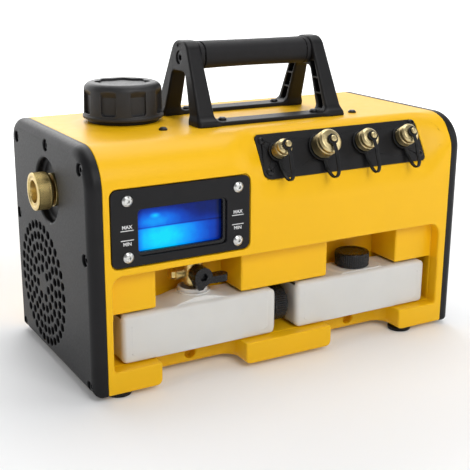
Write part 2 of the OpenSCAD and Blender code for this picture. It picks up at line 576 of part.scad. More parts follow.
module shaft_bearings() color("#bfc2c6") place() for (x = [-166, -44]) difference() {
  cx(x, x + 10, ax_y, ax_z, 16); cx(x - 1, x + 11, ax_y, ax_z, 8.05, 32);
}
module motor_housing() color("#6b6e73") place() difference() {
  union() {
    cx(-170, -32, ax_y, ax_z, 54);
    bx(-150, -60, 92, 166, 7, 40);
  }
  cx(-164, -38, ax_y, ax_z, 50);
  cx(-171, -31, ax_y, ax_z, 11);
  cx(-166.5, -163, ax_y, ax_z, 16); cx(-39, -34, ax_y, ax_z, 16);
  for (a = [0:45:315]) translate([0, ax_y, ax_z]) rotate([a, 0, 0]) { cx(-171, -163, 34, 0, 7, 24); cx(-39, -31, 34, 0, 7, 24); }
}
module motor_stator() color("#a5793f") place() difference() {
  union() { cx(-140, -70, ax_y, ax_z, 50); cx(-154, -56, ax_y, ax_z, 46); }
  cx(-160, -50, ax_y, ax_z, 36);
}
module motor_rotor() color("#8c8f93") place() difference() {
  cx(-142, -68, ax_y, ax_z, 35.3); cx(-143, -67, ax_y, ax_z, 8, 32);
}
module cooling_fan() color("#202124") place() translate([-187, ax_y, ax_z]) rotate([0, 90, 0]) difference() {
  union() {
    cylinder(r = 15, h = 13);
    for (k = [0:6]) rotate(k * 360 / 7) translate([12, -1.1, 1]) cube([37, 2.2, 11]);
    difference() { cylinder(r = 50, h = 3); translate([0, 0, -1]) cylinder(r = 46, h = 5); }
    for (k = [0:6]) rotate(k * 360 / 7) translate([12, -3, 0]) cube([36, 6, 2]);
  }
  translate([0, 0, -1]) cylinder(r = 8, h = 20, $fn = 32);
}
module run_capacitor() color("#d9dadc") place() { cz(165, 90, 7, 92, 19); cz(160, 90, 91, 98, 3, 24); cz(170, 90, 91, 98, 3, 24); }
module power_inlet() color("#17171a") place() difference() {
  union() { bx(xo - 28, xo, 118, 142, 159.5, 180.5); bx(xo, xo + 2.5, 106, 154, 156, 184); }
  bx(xo - 15, xo + 3, 120.5, 139.5, 162.5, 177.5);
  for (y = [110, 150]) cx(xo - 1, xo + 4, y, 170, 1.7, 24);
}
module power_switch() color("#17171a") place() difference() {
  union() {
    bx(xo - 24, xo, 63, 83, 157, 183);
    bx(xo, xo + 1.6, 60, 86, 154, 186);
  }
  bx(xo - 12, xo + 2, 65.5, 80.5, 159.5, 180.5);
}

// rocker, drawn with its upper half pressed in
module switch_rocker() color("#0e0e10") place() translate([xo - 6, 0, 170]) rotate([0, -8, 0])
  along_y(65.9, 80.1) polygon([[-3, -3], [3, -9.3], [6.5, -9.3], [5, 0], [6.5, 9.3], [3, 9.3], [-3, 3]]);

// ---------- exhaust ----------
module exhaust_fitting() color("#c9a04a") place() difference() {
  union() {
    cx(-196, -160.5, ex_y, ex_z, 8);
    cx(-195, -189.5, ex_y, ex_z, 12.5);
    cx(-199, -195, ex_y, ex_z, 15.5);
    cx(-203.5, -198, ex_y, ex_z, 10);
  }
  cx(-204, -160, ex_y, ex_z, 6);
}
module exhaust_collar() color("#c9a04a") place() difference() {
  union() { cx(-216, -203, ex_y, ex_z, 17.5); cx(-203.1, -201.5, ex_y, ex_z, 16.6); }
  cx(-217, -203.8, ex_y, ex_z, 10.6);
  cx(-204.5, -201, ex_y, ex_z, 10.05);
}

// ---------- drawing ----------
housing();
end_panel_left();
end_panel_right();
end_panel_screws();
chassis_plate();
rubber_feet();
foot_screws();
handle_frame();
handle_grip();
handle_core();
handle_bolts();
top_screws();
oil_tank();
filler_neck();
oil_cap();
cap_gasket();
sight_glass();
window_bezel();
bezel_screws();
led_board();
drain_pipe();
valve_body();
valve_ball();
valve_lever();
bottle_left();
bottle_right();
bottle_cap_left();
bottle_cap_right();
port_plate();
port_plate_screws();
manifold();
port_fittings();
port_cap_1();
port_cap_2();
port_cap_3();
port_cap_4();
port_tether_1();
port_tether_2();
port_tether_3();
port_tether_4();
gas_tubes();
pump_body();
pump_covers();
rotor_first_stage();
rotor_second_stage();
rotor_vanes();
motor_shaft();
pump_shaft();
shaft_coupling();
shaft_bearings();
motor_housing();
motor_stator();
motor_rotor();
cooling_fan();
run_capacitor();
power_inlet();
power_switch();
switch_rocker();
exhaust_fitting();
exhaust_collar();
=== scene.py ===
import bpy, bmesh, math, json
import numpy as np
from mathutils import Vector, Matrix


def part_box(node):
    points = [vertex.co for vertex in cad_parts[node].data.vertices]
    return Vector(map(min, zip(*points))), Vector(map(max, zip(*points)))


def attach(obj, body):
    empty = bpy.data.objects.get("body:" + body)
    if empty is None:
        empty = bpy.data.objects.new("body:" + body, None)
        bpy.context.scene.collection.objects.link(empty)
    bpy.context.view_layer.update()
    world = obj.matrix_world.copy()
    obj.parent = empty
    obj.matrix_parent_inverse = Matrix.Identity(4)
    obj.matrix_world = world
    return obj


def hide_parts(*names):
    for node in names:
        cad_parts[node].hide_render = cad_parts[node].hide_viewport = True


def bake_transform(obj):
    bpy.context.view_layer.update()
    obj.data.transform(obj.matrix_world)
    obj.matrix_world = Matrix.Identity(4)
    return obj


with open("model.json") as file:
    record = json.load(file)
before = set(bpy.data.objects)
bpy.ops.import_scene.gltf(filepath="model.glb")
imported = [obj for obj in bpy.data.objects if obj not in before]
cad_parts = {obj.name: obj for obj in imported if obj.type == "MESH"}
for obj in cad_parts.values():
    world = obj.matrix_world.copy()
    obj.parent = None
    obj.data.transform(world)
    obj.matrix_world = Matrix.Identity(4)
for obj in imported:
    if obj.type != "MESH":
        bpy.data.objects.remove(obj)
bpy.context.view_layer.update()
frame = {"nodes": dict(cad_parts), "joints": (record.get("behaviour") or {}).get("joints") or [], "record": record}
N = frame["nodes"]

# body coordinates in mm (x from the sleeve's middle, y from the front face, z from the sleeve's
# underside) to the shared frame in metres
_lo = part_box("housing")[0]
SX = round(_lo[0] * 1000 + 190.0, 3)
SY = round(_lo[1] * 1000, 3)
SZ = round(_lo[2] * 1000, 3)
SHIFT = np.array([SX, SY, SZ])
COARSE = 1.0


def W(x, y, z):
    return Vector(((x + SX) / 1000.0, (y + SY) / 1000.0, (z + SZ) / 1000.0))


# ------------------------------------------------------------------ camera, floor, light
cam_d = bpy.data.cameras.new("camera")
cam = bpy.data.objects.new("camera", cam_d)
bpy.context.collection.objects.link(cam)
yaw, pitch, roll = map(math.radians, (29.826, 16.563, 0.381))
fwd = Vector((math.sin(yaw) * math.cos(pitch), math.cos(yaw) * math.cos(pitch), -math.sin(pitch)))
rt = Vector((math.cos(yaw), -math.sin(yaw), 0))
up = rt.cross(fwd)
r2 = math.cos(roll) * rt + math.sin(roll) * up
u2 = -math.sin(roll) * rt + math.cos(roll) * up
M = Matrix((r2, u2, -fwd)).transposed().to_4x4()
M.translation = W(-477.344, -725.141, 382.072)
cam.matrix_world = M
cam_d.sensor_width = 36.0
cam_d.lens = 960.558 / 470.0 * 36.0
cam_d.shift_x = -(236.377 - 235.0) / 470.0
cam_d.shift_y = (233.731 - 235.0) / 470.0
cam_d.clip_start = 0.01
cam_d.clip_end = 50
bpy.context.scene.camera = cam


def area(name, loc, target, size, power, color=(1, 1, 1), sy=None):
    d = bpy.data.lights.new(name, "AREA")
    d.energy = power
    d.size = size
    d.color = color
    if sy:
        d.shape = "RECTANGLE"
        d.size_y = sy
    o = bpy.data.objects.new(name, d)
    bpy.context.collection.objects.link(o)
    o.location = loc
    o.rotation_euler = (Vector(target) - Vector(loc)).to_track_quat("-Z", "Y").to_euler()
    return o


area("key", (0.05, -1.55, 1.25), (0, 0, 0.12), 0.9, 16)
area("top", (0.35, 0.25, 1.7), (0, 0, 0.1), 1.2, 14.0)
area("right", (1.5, -0.9, 0.8), (0, 0, 0.12), 0.8, 5)
area("left", (-1.5, -0.5, 0.8), (0, 0, 0.14), 0.5, 1.6)
area("back", (0.2, 1.7, 1.2), (0, 0, 0.12), 1.2, 9)
# plain display colours, as in the photograph: the default transform pales the yellow
bpy.context.scene.view_settings.view_transform = "Standard"
bpy.context.scene.view_settings.look = "None"
world = bpy.data.worlds.new("studio")
bpy.context.scene.world = world
world.use_nodes = True
world.node_tree.nodes["Background"].inputs[0].default_value = (0.95, 0.97, 1.0, 1)
world.node_tree.nodes["Background"].inputs[1].default_value = 0.20


# ------------------------------------------------------------------ materials
def rgb(r, g, b):
    f = lambda c: ((c / 255 + 0.055) / 1.055) ** 2.4 if c / 255 > 0.04045 else c / 255 / 12.92
    return (f(r), f(g), f(b), 1.0)


def material(name, base, rough=0.5, metal=0.0, var=0.06, var_scale=40.0, bump=0.0, bump_scale=2500.0,
             bump_mm=0.1, rough_var=0.08, coat=0.0, spec=0.5, sss=0.0, detail=4.0, stretch=None, edge_highlight=0.0,
             emis=None, extra=None):
    m = bpy.data.materials.new(name)
    m.use_nodes = True
    nt = m.node_tree
    L = nt.links.new
    p = nt.nodes["Principled BSDF"]
    p.inputs["Metallic"].default_value = metal
    p.inputs["Specular IOR Level"].default_value = spec
    p.inputs["Coat Weight"].default_value = coat
    p.inputs["Coat Roughness"].default_value = 0.12
    if sss:
        p.inputs["Subsurface Weight"].default_value = sss
        p.inputs["Subsurface Radius"].default_value = (1.0, 0.9, 0.75)
        p.inputs["Subsurface Scale"].default_value = 0.012
    tc = nt.nodes.new("ShaderNodeTexCoord")
    vec = tc.outputs["Object"]
    if stretch:
        mp = nt.nodes.new("ShaderNodeMapping")
        mp.inputs["Scale"].default_value = stretch
        L(vec, mp.inputs["Vector"])
        vec = mp.outputs["Vector"]
    n1 = nt.nodes.new("ShaderNodeTexNoise")
    n1.inputs["Scale"].default_value = var_scale
    n1.inputs["Detail"].default_value = detail
    L(vec, n1.inputs["Vector"])
    ramp = nt.nodes.new("ShaderNodeValToRGB")
    ramp.color_ramp.elements[0].position = 0.25
    ramp.color_ramp.elements[1].position = 0.75
    ramp.color_ramp.elements[0].color = tuple(c * (1 - var) for c in base[:3]) + (1,)
    ramp.color_ramp.elements[1].color = tuple(min(1, c * (1 + var)) for c in base[:3]) + (1,)
    L(n1.outputs["Fac"], ramp.inputs["Fac"])
    col = ramp.outputs["Color"]
    n2 = nt.nodes.new("ShaderNodeTexNoise")
    n2.inputs["Scale"].default_value = var_scale * 7
    n2.inputs["Detail"].default_value = 3
    L(vec, n2.inputs["Vector"])
    mr = nt.nodes.new("ShaderNodeMapRange")
    mr.inputs["To Min"].default_value = max(0.02, rough - rough_var)
    mr.inputs["To Max"].default_value = min(1.0, rough + rough_var)
    L(n2.outputs["Fac"], mr.inputs["Value"])
    L(mr.outputs["Result"], p.inputs["Roughness"])
    if edge_highlight:
        # painted highlight: convex edges lightened by pointiness, standing in for light caught on the rounded edges
        g = nt.nodes.new("ShaderNodeNewGeometry")
        gr = nt.nodes.new("ShaderNodeMapRange")
        gr.inputs["From Min"].default_value = 0.52
        gr.inputs["From Max"].default_value = 0.60
        gr.inputs["To Max"].default_value = edge_highlight
        L(g.outputs["Pointiness"], gr.inputs["Value"])
        mx = nt.nodes.new("ShaderNodeMix")
        mx.data_type = "RGBA"
        L(gr.outputs["Result"], mx.inputs["Factor"])
        L(col, mx.inputs["A"])
        mx.inputs["B"].default_value = tuple(min(1, c * 1.8 + 0.02) for c in base[:3]) + (1,)
        col = mx.outputs["Result"]
    if extra:
        col = extra(nt, vec, col, p)
    L(col, p.inputs["Base Color"])
    if bump:
        n3 = nt.nodes.new("ShaderNodeTexNoise")
        n3.inputs["Scale"].default_value = bump_scale
        n3.inputs["Detail"].default_value = 2
        L(vec, n3.inputs["Vector"])
        b = nt.nodes.new("ShaderNodeBump")
        b.inputs["Strength"].default_value = bump
        b.inputs["Distance"].default_value = bump_mm / 1000.0
        L(n3.outputs["Fac"], b.inputs["Height"])
        L(b.outputs["Normal"], p.inputs["Normal"])
    if emis:
        p.inputs["Emission Color"].default_value = emis[0]
        p.inputs["Emission Strength"].default_value = emis[1]
    return m


# the pointiness amount given to each material lightens its convex edges: painted highlight
M_YEL = material("moulded_yellow", (0.86, 0.475, 0.004), rough=0.40, var=0.025, var_scale=18, bump=0.35, bump_scale=1500, bump_mm=0.06, spec=0.26, rough_var=0.05, edge_highlight=0.12)
M_BLK = material("moulded_black", (0.0075, 0.0072, 0.0080), rough=0.44, spec=0.22, var=0.14, var_scale=60, bump=0.5, bump_scale=1700, bump_mm=0.12, edge_highlight=0.35)
M_BLK2 = material("smooth_black", (0.0065, 0.0062, 0.0068), rough=0.26, spec=0.30, var=0.10, var_scale=80, bump=0.15, bump_scale=900, bump_mm=0.05, edge_highlight=0.25)
M_OCAP = material("cap_plastic", (0.021, 0.0205, 0.0215), rough=0.46, spec=0.34, var=0.14, var_scale=60, bump=0.5, bump_scale=1700, bump_mm=0.12, edge_highlight=0.35)
M_GRIP = material("soft_grip", (0.011, 0.0105, 0.0115), rough=0.60, spec=0.24, var=0.12, var_scale=90, bump=0.6, bump_scale=1300, bump_mm=0.18, rough_var=0.06, edge_highlight=0.15)
M_RUB = material("matt_rubber", (0.004, 0.004, 0.0045), rough=0.42, spec=0.25, var=0.15, var_scale=120, bump=0.3, bump_scale=1600, bump_mm=0.08)
M_BRASS = material("machined_brass", (0.62, 0.47, 0.19), rough=0.30, metal=1.0, var=0.10, var_scale=120, bump=0.25, bump_scale=700, bump_mm=0.05, rough_var=0.10, stretch=(1, 1, 6), edge_highlight=0.2)
M_CAPB = material("brass_caps", (0.60, 0.49, 0.26), rough=0.34, metal=1.0, var=0.12, var_scale=160, bump=0.25, bump_scale=900, bump_mm=0.05, rough_var=0.12, edge_highlight=0.25)
M_ZINC = material("zinc_steel", (0.62, 0.62, 0.60), rough=0.30, metal=1.0, var=0.08, var_scale=300, bump=0.2, bump_scale=1500, bump_mm=0.04)
M_BSCR = material("black_oxide", (0.020, 0.020, 0.021), rough=0.36, metal=0.6, var=0.15, var_scale=300, bump=0.2, bump_scale=1500, bump_mm=0.04)
M_ALU = material("cast_aluminium", (0.55, 0.56, 0.57), rough=0.45, metal=1.0, var=0.10, var_scale=60, bump=0.5, bump_scale=700, bump_mm=0.15)
M_STEEL = material("ground_steel", (0.50, 0.51, 0.52), rough=0.33, metal=1.0, var=0.08, var_scale=80, bump=0.2, bump_scale=900, bump_mm=0.04)
M_COPPER = material("copper", (0.70, 0.33, 0.19), rough=0.32, metal=1.0, var=0.12, var_scale=80, bump=0.2, bump_scale=900, bump_mm=0.05)
M_VANE = material("vane_stock", (0.12, 0.07, 0.035), rough=0.5, var=0.2, var_scale=200, bump=0.3, bump_scale=900)
M_BOARD = material("lamp_board", (0.02, 0.16, 0.06), rough=0.35, var=0.15, var_scale=200, bump=0.2, bump_scale=900)
M_BOTTLE = material("milky_plastic", (0.70, 0.685, 0.645), rough=0.34, var=0.03, var_scale=25, bump=0.25, bump_scale=900, bump_mm=0.06, sss=0.35, rough_var=0.06)
M_MARK = material("white_print", (0.72, 0.72, 0.72), rough=0.5, var=0.05, var_scale=200)


def blue_glow(nt, vec, col, p):
    """The sight window: oil lit blue from behind, brightest in the middle of the oil, darker above and at the ends."""
    L = nt.links.new
    sep = nt.nodes.new("ShaderNodeSeparateXYZ")
    L(vec, sep.inputs[0])
    c = W(-114, 7, 148)

    def mrange(sock, a, b, lo, hi, smooth=True):
        r = nt.nodes.new("ShaderNodeMapRange")
        if smooth:
            r.interpolation_type = "SMOOTHSTEP"
        r.inputs["From Min"].default_value = a
        r.inputs["From Max"].default_value = b
        r.inputs["To Min"].default_value = lo
        r.inputs["To Max"].default_value = hi
        L(sock, r.inputs["Value"])
        return r.outputs["Result"]

    def math_(op, a, b):
        n = nt.nodes.new("ShaderNodeMath")
        n.operation = op
        for s, v in zip(n.inputs, (a, b)):
            if isinstance(v, (int, float)):
                s.default_value = v
            else:
                L(v, s)
        return n.outputs[0]

    def near(x, z, rx, rz):
        """1 at the point (x, z), 0 past the ellipse rx, rz round it."""
        q = W(x, 0, z)
        ax = math_("DIVIDE", math_("SUBTRACT", sep.outputs["X"], q.x), rx / 1000)
        az = math_("DIVIDE", math_("SUBTRACT", sep.outputs["Z"], q.z), rz / 1000)
        return mrange(math_("SQRT", math_("ADD", math_("MULTIPLY", ax, ax), math_("MULTIPLY", az, az)), 0), 0.0, 1.0, 1.0, 0.0)

    zl = c.z + 0.0008
    oil = mrange(sep.outputs["Z"], zl - 0.0004, zl + 0.0004, 1.0, 0.0)
    line = mrange(math_("ABSOLUTE", math_("SUBTRACT", sep.outputs["Z"], zl), 0), 0.0002, 0.0012, 1.0, 0.0)
    ends = mrange(math_("ABSOLUTE", math_("SUBTRACT", sep.outputs["X"], W(-115.5, 0, 0).x), 0), 0.034, 0.043, 0.0, 1.0)
    in_oil = math_("ADD", math_("MULTIPLY", near(-132, 139, 74, 46), 0.86), 0.16)
    over = math_("ADD", math_("MULTIPLY", near(-139, 154, 52, 17), 0.66), 0.10)
    over = math_("ADD", over, math_("MULTIPLY", near(-139, 159.5, 7, 3.5), 0.32))
    over = math_("ADD", over, math_("MULTIPLY", near(-88, 146, 44, 13), 0.24))
    f = math_("ADD", math_("MULTIPLY", oil, in_oil), math_("MULTIPLY", math_("SUBTRACT", 1.0, oil), over))
    wob = nt.nodes.new("ShaderNodeTexNoise")
    wob.inputs["Scale"].default_value = 150
    wob.inputs["Detail"].default_value = 3
    L(vec, wob.inputs["Vector"])
    f = math_("ADD", f, math_("MULTIPLY", math_("SUBTRACT", wob.outputs["Fac"], 0.5), 0.14))
    f = math_("SUBTRACT", f, math_("MULTIPLY", line, 0.16))
    f = math_("SUBTRACT", f, math_("MULTIPLY", ends, 0.22))
    r = nt.nodes.new("ShaderNodeValToRGB")
    e = r.color_ramp.elements
    e[0].position = 0.0
    e[0].color = (0.0, 0.002, 0.035, 1)
    e[1].position = 1.0
    e[1].color = (0.0, 0.72, 0.95, 1)
    for pos, col_ in ((0.20, (0.0, 0.012, 0.20, 1)), (0.42, (0.0, 0.055, 0.50, 1)), (0.62, (0.0, 0.16, 0.82, 1)), (0.82, (0.0, 0.38, 1.0, 1))):
        k = e.new(pos)
        k.color = col_
    L(f, r.inputs["Fac"])
    L(r.outputs["Color"], p.inputs["Emission Color"])
    p.inputs["Emission Strength"].default_value = 1.0
    return col


M_GLASS = material("sight_window", (0.002, 0.006, 0.02), rough=0.05, var=0.2, var_scale=60, coat=0.0, spec=0.12, rough_var=0.02, extra=blue_glow)

SLOT_MAT = {"yellow_shell": M_YEL, "black_plastic": M_BLK, "gloss_black": M_BLK2, "soft_grip": M_GRIP, "rubber": M_RUB,
            "brass": M_BRASS, "pale_brass": M_CAPB, "screw_steel": M_ZINC, "black_screw": M_BSCR, "blue_glass": M_GLASS,
            "bottle_plastic": M_BOTTLE, "aluminium": M_ALU, "steel": M_STEEL, "copper": M_COPPER, "vane": M_VANE, "board": M_BOARD}
node_slot = {s["node"]: s["material_slot"] for s in frame["record"]["subparts"]}
for n, o in N.items():
    o.data.materials.clear()
    o.data.materials.append(SLOT_MAT[node_slot[n]])


def soften(names, w=0.5, seg=2, ang=35):
    for n in names:
        o = N[n]
        a = o.modifiers.new("weld", "WELD")
        a.merge_threshold = 2e-5
        b = o.modifiers.new("bevel", "BEVEL")
        b.width = w / 1000
        b.segments = seg
        b.limit_method = "ANGLE"
        b.angle_limit = math.radians(ang)
        b.harden_normals = False
        c = o.modifiers.new("normals", "WEIGHTED_NORMAL")
        c.keep_sharp = False
        for p in o.data.polygons:
            pass


# ------------------------------------------------------------------ distance-field modelling
def relu(a):
    return np.maximum(a, 0)


def rint(a, b, r):
    """Intersection with its edge rounded to radius r."""
    return np.minimum(np.maximum(a, b), -r) + np.sqrt(relu(a + r) ** 2 + relu(b + r) ** 2)


def runi(a, b, r):
    """Union with its inner corner filled to radius r."""
    return np.maximum(np.minimum(a, b), r) - np.sqrt(relu(r - a) ** 2 + relu(r - b) ** 2)


def rsub(a, b, r):
    return rint(a, -b, r)


def rect(u, v, u0, u1, v0, v1, r=0.0):
    """Rounded rectangle; r is one radius or (low-low, high-low, high-high, low-high)."""
    cu, cv, hu, hv = (u0 + u1) / 2, (v0 + v1) / 2, (u1 - u0) / 2, (v1 - v0) / 2
    du, dv = u - cu, v - cv
    if isinstance(r, tuple):
        r = np.where(du > 0, np.where(dv > 0, r[2], r[1]), np.where(dv > 0, r[3], r[0]))
    qu, qv = np.abs(du) - hu + r, np.abs(dv) - hv + r
    return np.minimum(np.maximum(qu, qv), 0) + np.sqrt(relu(qu) ** 2 + relu(qv) ** 2) - r


def box3(x, y, z, b, r=0.0):
    q = [np.abs(c - (b[2 * i] + b[2 * i + 1]) / 2) - (b[2 * i + 1] - b[2 * i]) / 2 + r for i, c in enumerate((x, y, z))]
    return np.minimum(np.maximum(np.maximum(q[0], q[1]), q[2]), 0) + np.sqrt(relu(q[0]) ** 2 + relu(q[1]) ** 2 + relu(q[2]) ** 2) - r


def circ(u, v, cu, cv, R):
    return np.sqrt((u - cu) ** 2 + (v - cv) ** 2) - R


def nets(xs, ys, zs, f):
    """Surface nets of the zero set of f on a rectilinear grid: points and outward quads."""
    s = f < 0
    cnt = np.zeros(tuple(n - 1 for n in f.shape), np.int8)
    off = [(a, b, c) for a in (0, 1) for b in (0, 1) for c in (0, 1)]
    sl = lambda o, n: slice(1, n) if o else slice(0, n - 1)
    for o in off:
        cnt += s[sl(o[0], f.shape[0]), sl(o[1], f.shape[1]), sl(o[2], f.shape[2])]
    act = (cnt > 0) & (cnt < 8)
    ii = np.argwhere(act)
    idx = np.full(act.shape, -1, np.int32)
    idx[act] = np.arange(len(ii))
    i, j, k = ii.T
    acc = np.zeros((len(ii), 3))
    num = np.zeros(len(ii))
    for a in off:
        for ax in range(3):
            if a[ax]:
                continue
            b = list(a)
            b[ax] = 1
            fa = f[i + a[0], j + a[1], k + a[2]]
            fb = f[i + b[0], j + b[1], k + b[2]]
            m = (fa < 0) != (fb < 0)
            t = np.where(m, fa / np.where(m, fa - fb, 1), 0)
            pa = np.stack([xs[i + a[0]], ys[j + a[1]], zs[k + a[2]]], 1)
            pb = np.stack([xs[i + b[0]], ys[j + b[1]], zs[k + b[2]]], 1)
            acc += (pa + (pb - pa) * t[:, None]) * m[:, None]
            num += m
    v = acc / num[:, None]
    quads = []
    for ax in range(3):
        lo = [slice(None)] * 3
        hi = [slice(None)] * 3
        lo[ax] = slice(0, -1)
        hi[ax] = slice(1, None)
        ch = s[tuple(lo)] != s[tuple(hi)]
        o1, o2 = [q for q in range(3) if q != ax]
        e = np.argwhere(ch)
        ok = (e[:, o1] > 0) & (e[:, o2] > 0) & (e[:, o1] < f.shape[o1] - 1) & (e[:, o2] < f.shape[o2] - 1)
        e = e[ok]
        if not len(e):
            continue

        def cell(d1, d2):
            c = e.copy()
            c[:, o1] -= d1
            c[:, o2] -= d2
            return idx[c[:, 0], c[:, 1], c[:, 2]]

        q = np.stack([cell(1, 1), cell(0, 1), cell(0, 0), cell(1, 0)], 1)
        ins = s[e[:, 0], e[:, 1], e[:, 2]]
        flip = ~ins if ax != 1 else ins
        q[flip] = q[flip][:, ::-1]
        quads.append(q)
    return v, np.concatenate(quads)


def grad(fn, p, h=0.04):
    g = np.zeros_like(p)
    for a in range(3):
        d = np.zeros(3)
        d[a] = h
        q1, q0 = p + d, p - d
        g[:, a] = (fn(q1[:, 0], q1[:, 1], q1[:, 2]) - fn(q0[:, 0], q0[:, 1], q0[:, 2])) / (2 * h)
    return g


def make_mesh(name, verts, faces, mat, normals=None, smooth=True):
    me = bpy.data.meshes.new(name)
    me.from_pydata([tuple(v) for v in verts], [], [tuple(int(i) for i in f) for f in faces])
    me.validate()
    me.polygons.foreach_set("use_smooth", [smooth] * len(me.polygons))
    if mat:
        me.materials.append(mat)
    o = bpy.data.objects.new(name, me)
    bpy.context.collection.objects.link(o)
    return o


def big_mesh(name, v, q, mat):
    """Fast version of make_mesh for quads held in arrays."""
    me = bpy.data.meshes.new(name)
    me.vertices.add(len(v))
    me.vertices.foreach_set("co", v.astype(np.float32).ravel())
    me.loops.add(q.size)
    me.loops.foreach_set("vertex_index", q.astype(np.int32).ravel())
    me.polygons.add(len(q))
    me.polygons.foreach_set("loop_start", np.arange(0, q.size, q.shape[1], dtype=np.int32))
    me.polygons.foreach_set("use_smooth", np.ones(len(q), bool))
    me.update(calc_edges=True)
    me.materials.append(mat)
    o = bpy.data.objects.new(name, me)
    bpy.context.collection.objects.link(o)
    return o


def axis(lo, hi, h, fine=()):
    """Grid lines every h mm, and every f mm inside each (a, b, f) of fine."""
    pts = [lo]
    while pts[-1] < hi:
        s = h
        for a, b, f in fine:
            if a - h <= pts[-1] < b:
                s = min(s, f)
        pts.append(pts[-1] + s * COARSE)
    return np.array(pts)


def field(name, fn, xs, ys, zs, mat, body, keep=1.0, rep=()):
    """A piece from a distance function: surface nets, moved onto the exact surface, thinned, with exact normals."""
    xs, ys, zs = (a.astype(np.float64) for a in (xs, ys, zs))
    f = np.empty((len(xs), len(ys), len(zs)), np.float32)
    st = max(1, int(3e6 / (len(ys) * len(zs))))
    for a in range(0, len(xs), st):
        f[a:a + st] = fn(xs[a:a + st, None, None], ys[None, :, None], zs[None, None, :]) + 0 * (xs[a:a + st, None, None] + ys[None, :, None] + zs[None, None, :])
    v, q = nets(xs, ys, zs, f)
    for _ in range(3):
        g = grad(fn, v)
        d = fn(v[:, 0], v[:, 1], v[:, 2])
        gg = np.maximum((g * g).sum(1), 0.25)
        st_ = np.clip(d / gg, -0.6, 0.6)
        v = v - g * st_[:, None]
    o = big_mesh(name, (v + SHIFT) / 1000.0, q, mat)
    if keep < 1.0:
        m = o.modifiers.new("thin", "DECIMATE")
        m.ratio = keep
        dg = bpy.context.evaluated_depsgraph_get()
        me = bpy.data.meshes.new_from_object(o.evaluated_get(dg))
        o.modifiers.clear()
        old = o.data
        o.data = me
        me.name = name
        bpy.data.meshes.remove(old)
        me.polygons.foreach_set("use_smooth", np.ones(len(me.polygons), bool))
    me = o.data
    co = np.empty(len(me.vertices) * 3, np.float32)
    me.vertices.foreach_get("co", co)
    p = co.reshape(-1, 3).astype(np.float64) * 1000.0 - SHIFT
    nrm = grad(fn, p, 0.06)
    nrm /= np.maximum(np.linalg.norm(nrm, axis=1), 1e-9)[:, None]
    me.normals_split_custom_set_from_vertices([tuple(x) for x in nrm])
    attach(o, body)
    if rep:
        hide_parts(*rep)
    print("field", name, len(me.vertices), len(me.polygons))
    return o


def lathe(name, prof, n, mat, body, place, rep=(), mod=None, closed=True):
    """Revolves (r, h) points round the local Z axis; mod(angle, r, h, i) changes the radius. place maps local mm to the frame."""
    verts, faces = [], []
    rings = []
    for i, (r, h) in enumerate(prof):
        if r < 1e-6:
            rings.append([len(verts)])
            verts.append((0.0, 0.0, h))
            continue
        ring = []
        for k in range(n):
            a = 2 * math.pi * k / n
            rr = mod(a, r, h, i) if mod else r
            ring.append(len(verts))
            verts.append((rr * math.cos(a), rr * math.sin(a), h))
        rings.append(ring)
    for a, b in zip(rings, rings[1:] + ([rings[0]] if closed else [])):
        if len(a) == 1 and len(b) == 1:
            continue
        for k in range(n):
            k2 = (k + 1) % n
            if len(a) == 1:
                faces.append((a[0], b[k2], b[k]))
            elif len(b) == 1:
                faces.append((a[k], a[k2], b[0]))
            else:
                faces.append((a[k], a[k2], b[k2], b[k]))
    pts = [tuple(place(Vector(v))) for v in verts]
    o = make_mesh(name, pts, faces, mat)
    bm = bmesh.new()
    bm.from_mesh(o.data)
    bmesh.ops.recalc_face_normals(bm, faces=bm.faces)
    bm.to_mesh(o.data)
    bm.free()
    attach(o, body)
    if rep:
        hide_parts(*rep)
    return o


def round_profile(pts, r=0.4, seg=3):
    """Rounds the corners of a closed (r, h) profile; pts may carry their own radius as a third number."""
    out = []
    n = len(pts)
    for i in range(n):
        p = Vector(pts[i][:2]); a = Vector(pts[i - 1][:2]); b = Vector(pts[(i + 1) % n][:2])
        rr = pts[i][2] if len(pts[i]) > 2 else r
        u, v = (a - p), (b - p)
        if p.x < 1e-6 or rr <= 0 or u.length < 1e-6 or v.length < 1e-6:
            out.append((p.x, p.y))
            continue
        ang = u.angle(v)
        if ang > 3.0:
            out.append((p.x, p.y))
            continue
        t = min(rr / math.tan(ang / 2), u.length * 0.49, v.length * 0.49)
        rr = t * math.tan(ang / 2)
        c = p + (u.normalized() + v.normalized()).normalized() * (rr / math.sin(ang / 2))
        s, e_ = p + u.normalized() * t, p + v.normalized() * t
        a0 = math.atan2(*(s - c).yx); a1 = math.atan2(*(e_ - c).yx)
        da = (a1 - a0 + math.pi) % (2 * math.pi) - math.pi
        for k in range(seg + 1):
            an = a0 + da * k / seg
            out.append((c.x + rr * math.cos(an), c.y + rr * math.sin(an)))
    return out


# ------------------------------------------------------------------ the casing
T = math.radians(31)
cT, sT = math.cos(T), math.sin(T)


def port_ly(y, z):
    return (y - 2.5) * cT - (z - 179.5) * sT


def port_lz(y, z):
    return (y - 2.5) * sT + (z - 179.5) * cT


def srelu(t, k):
    return 0.5 * (t + np.sqrt(t * t + k * k))


def section(y, z, i=0.0):
    return rect(y, z, i, 206 - i, i, 222 - i, (max(3 - i, .3), max(3 - i, .3), 22 - i, 36 - i))


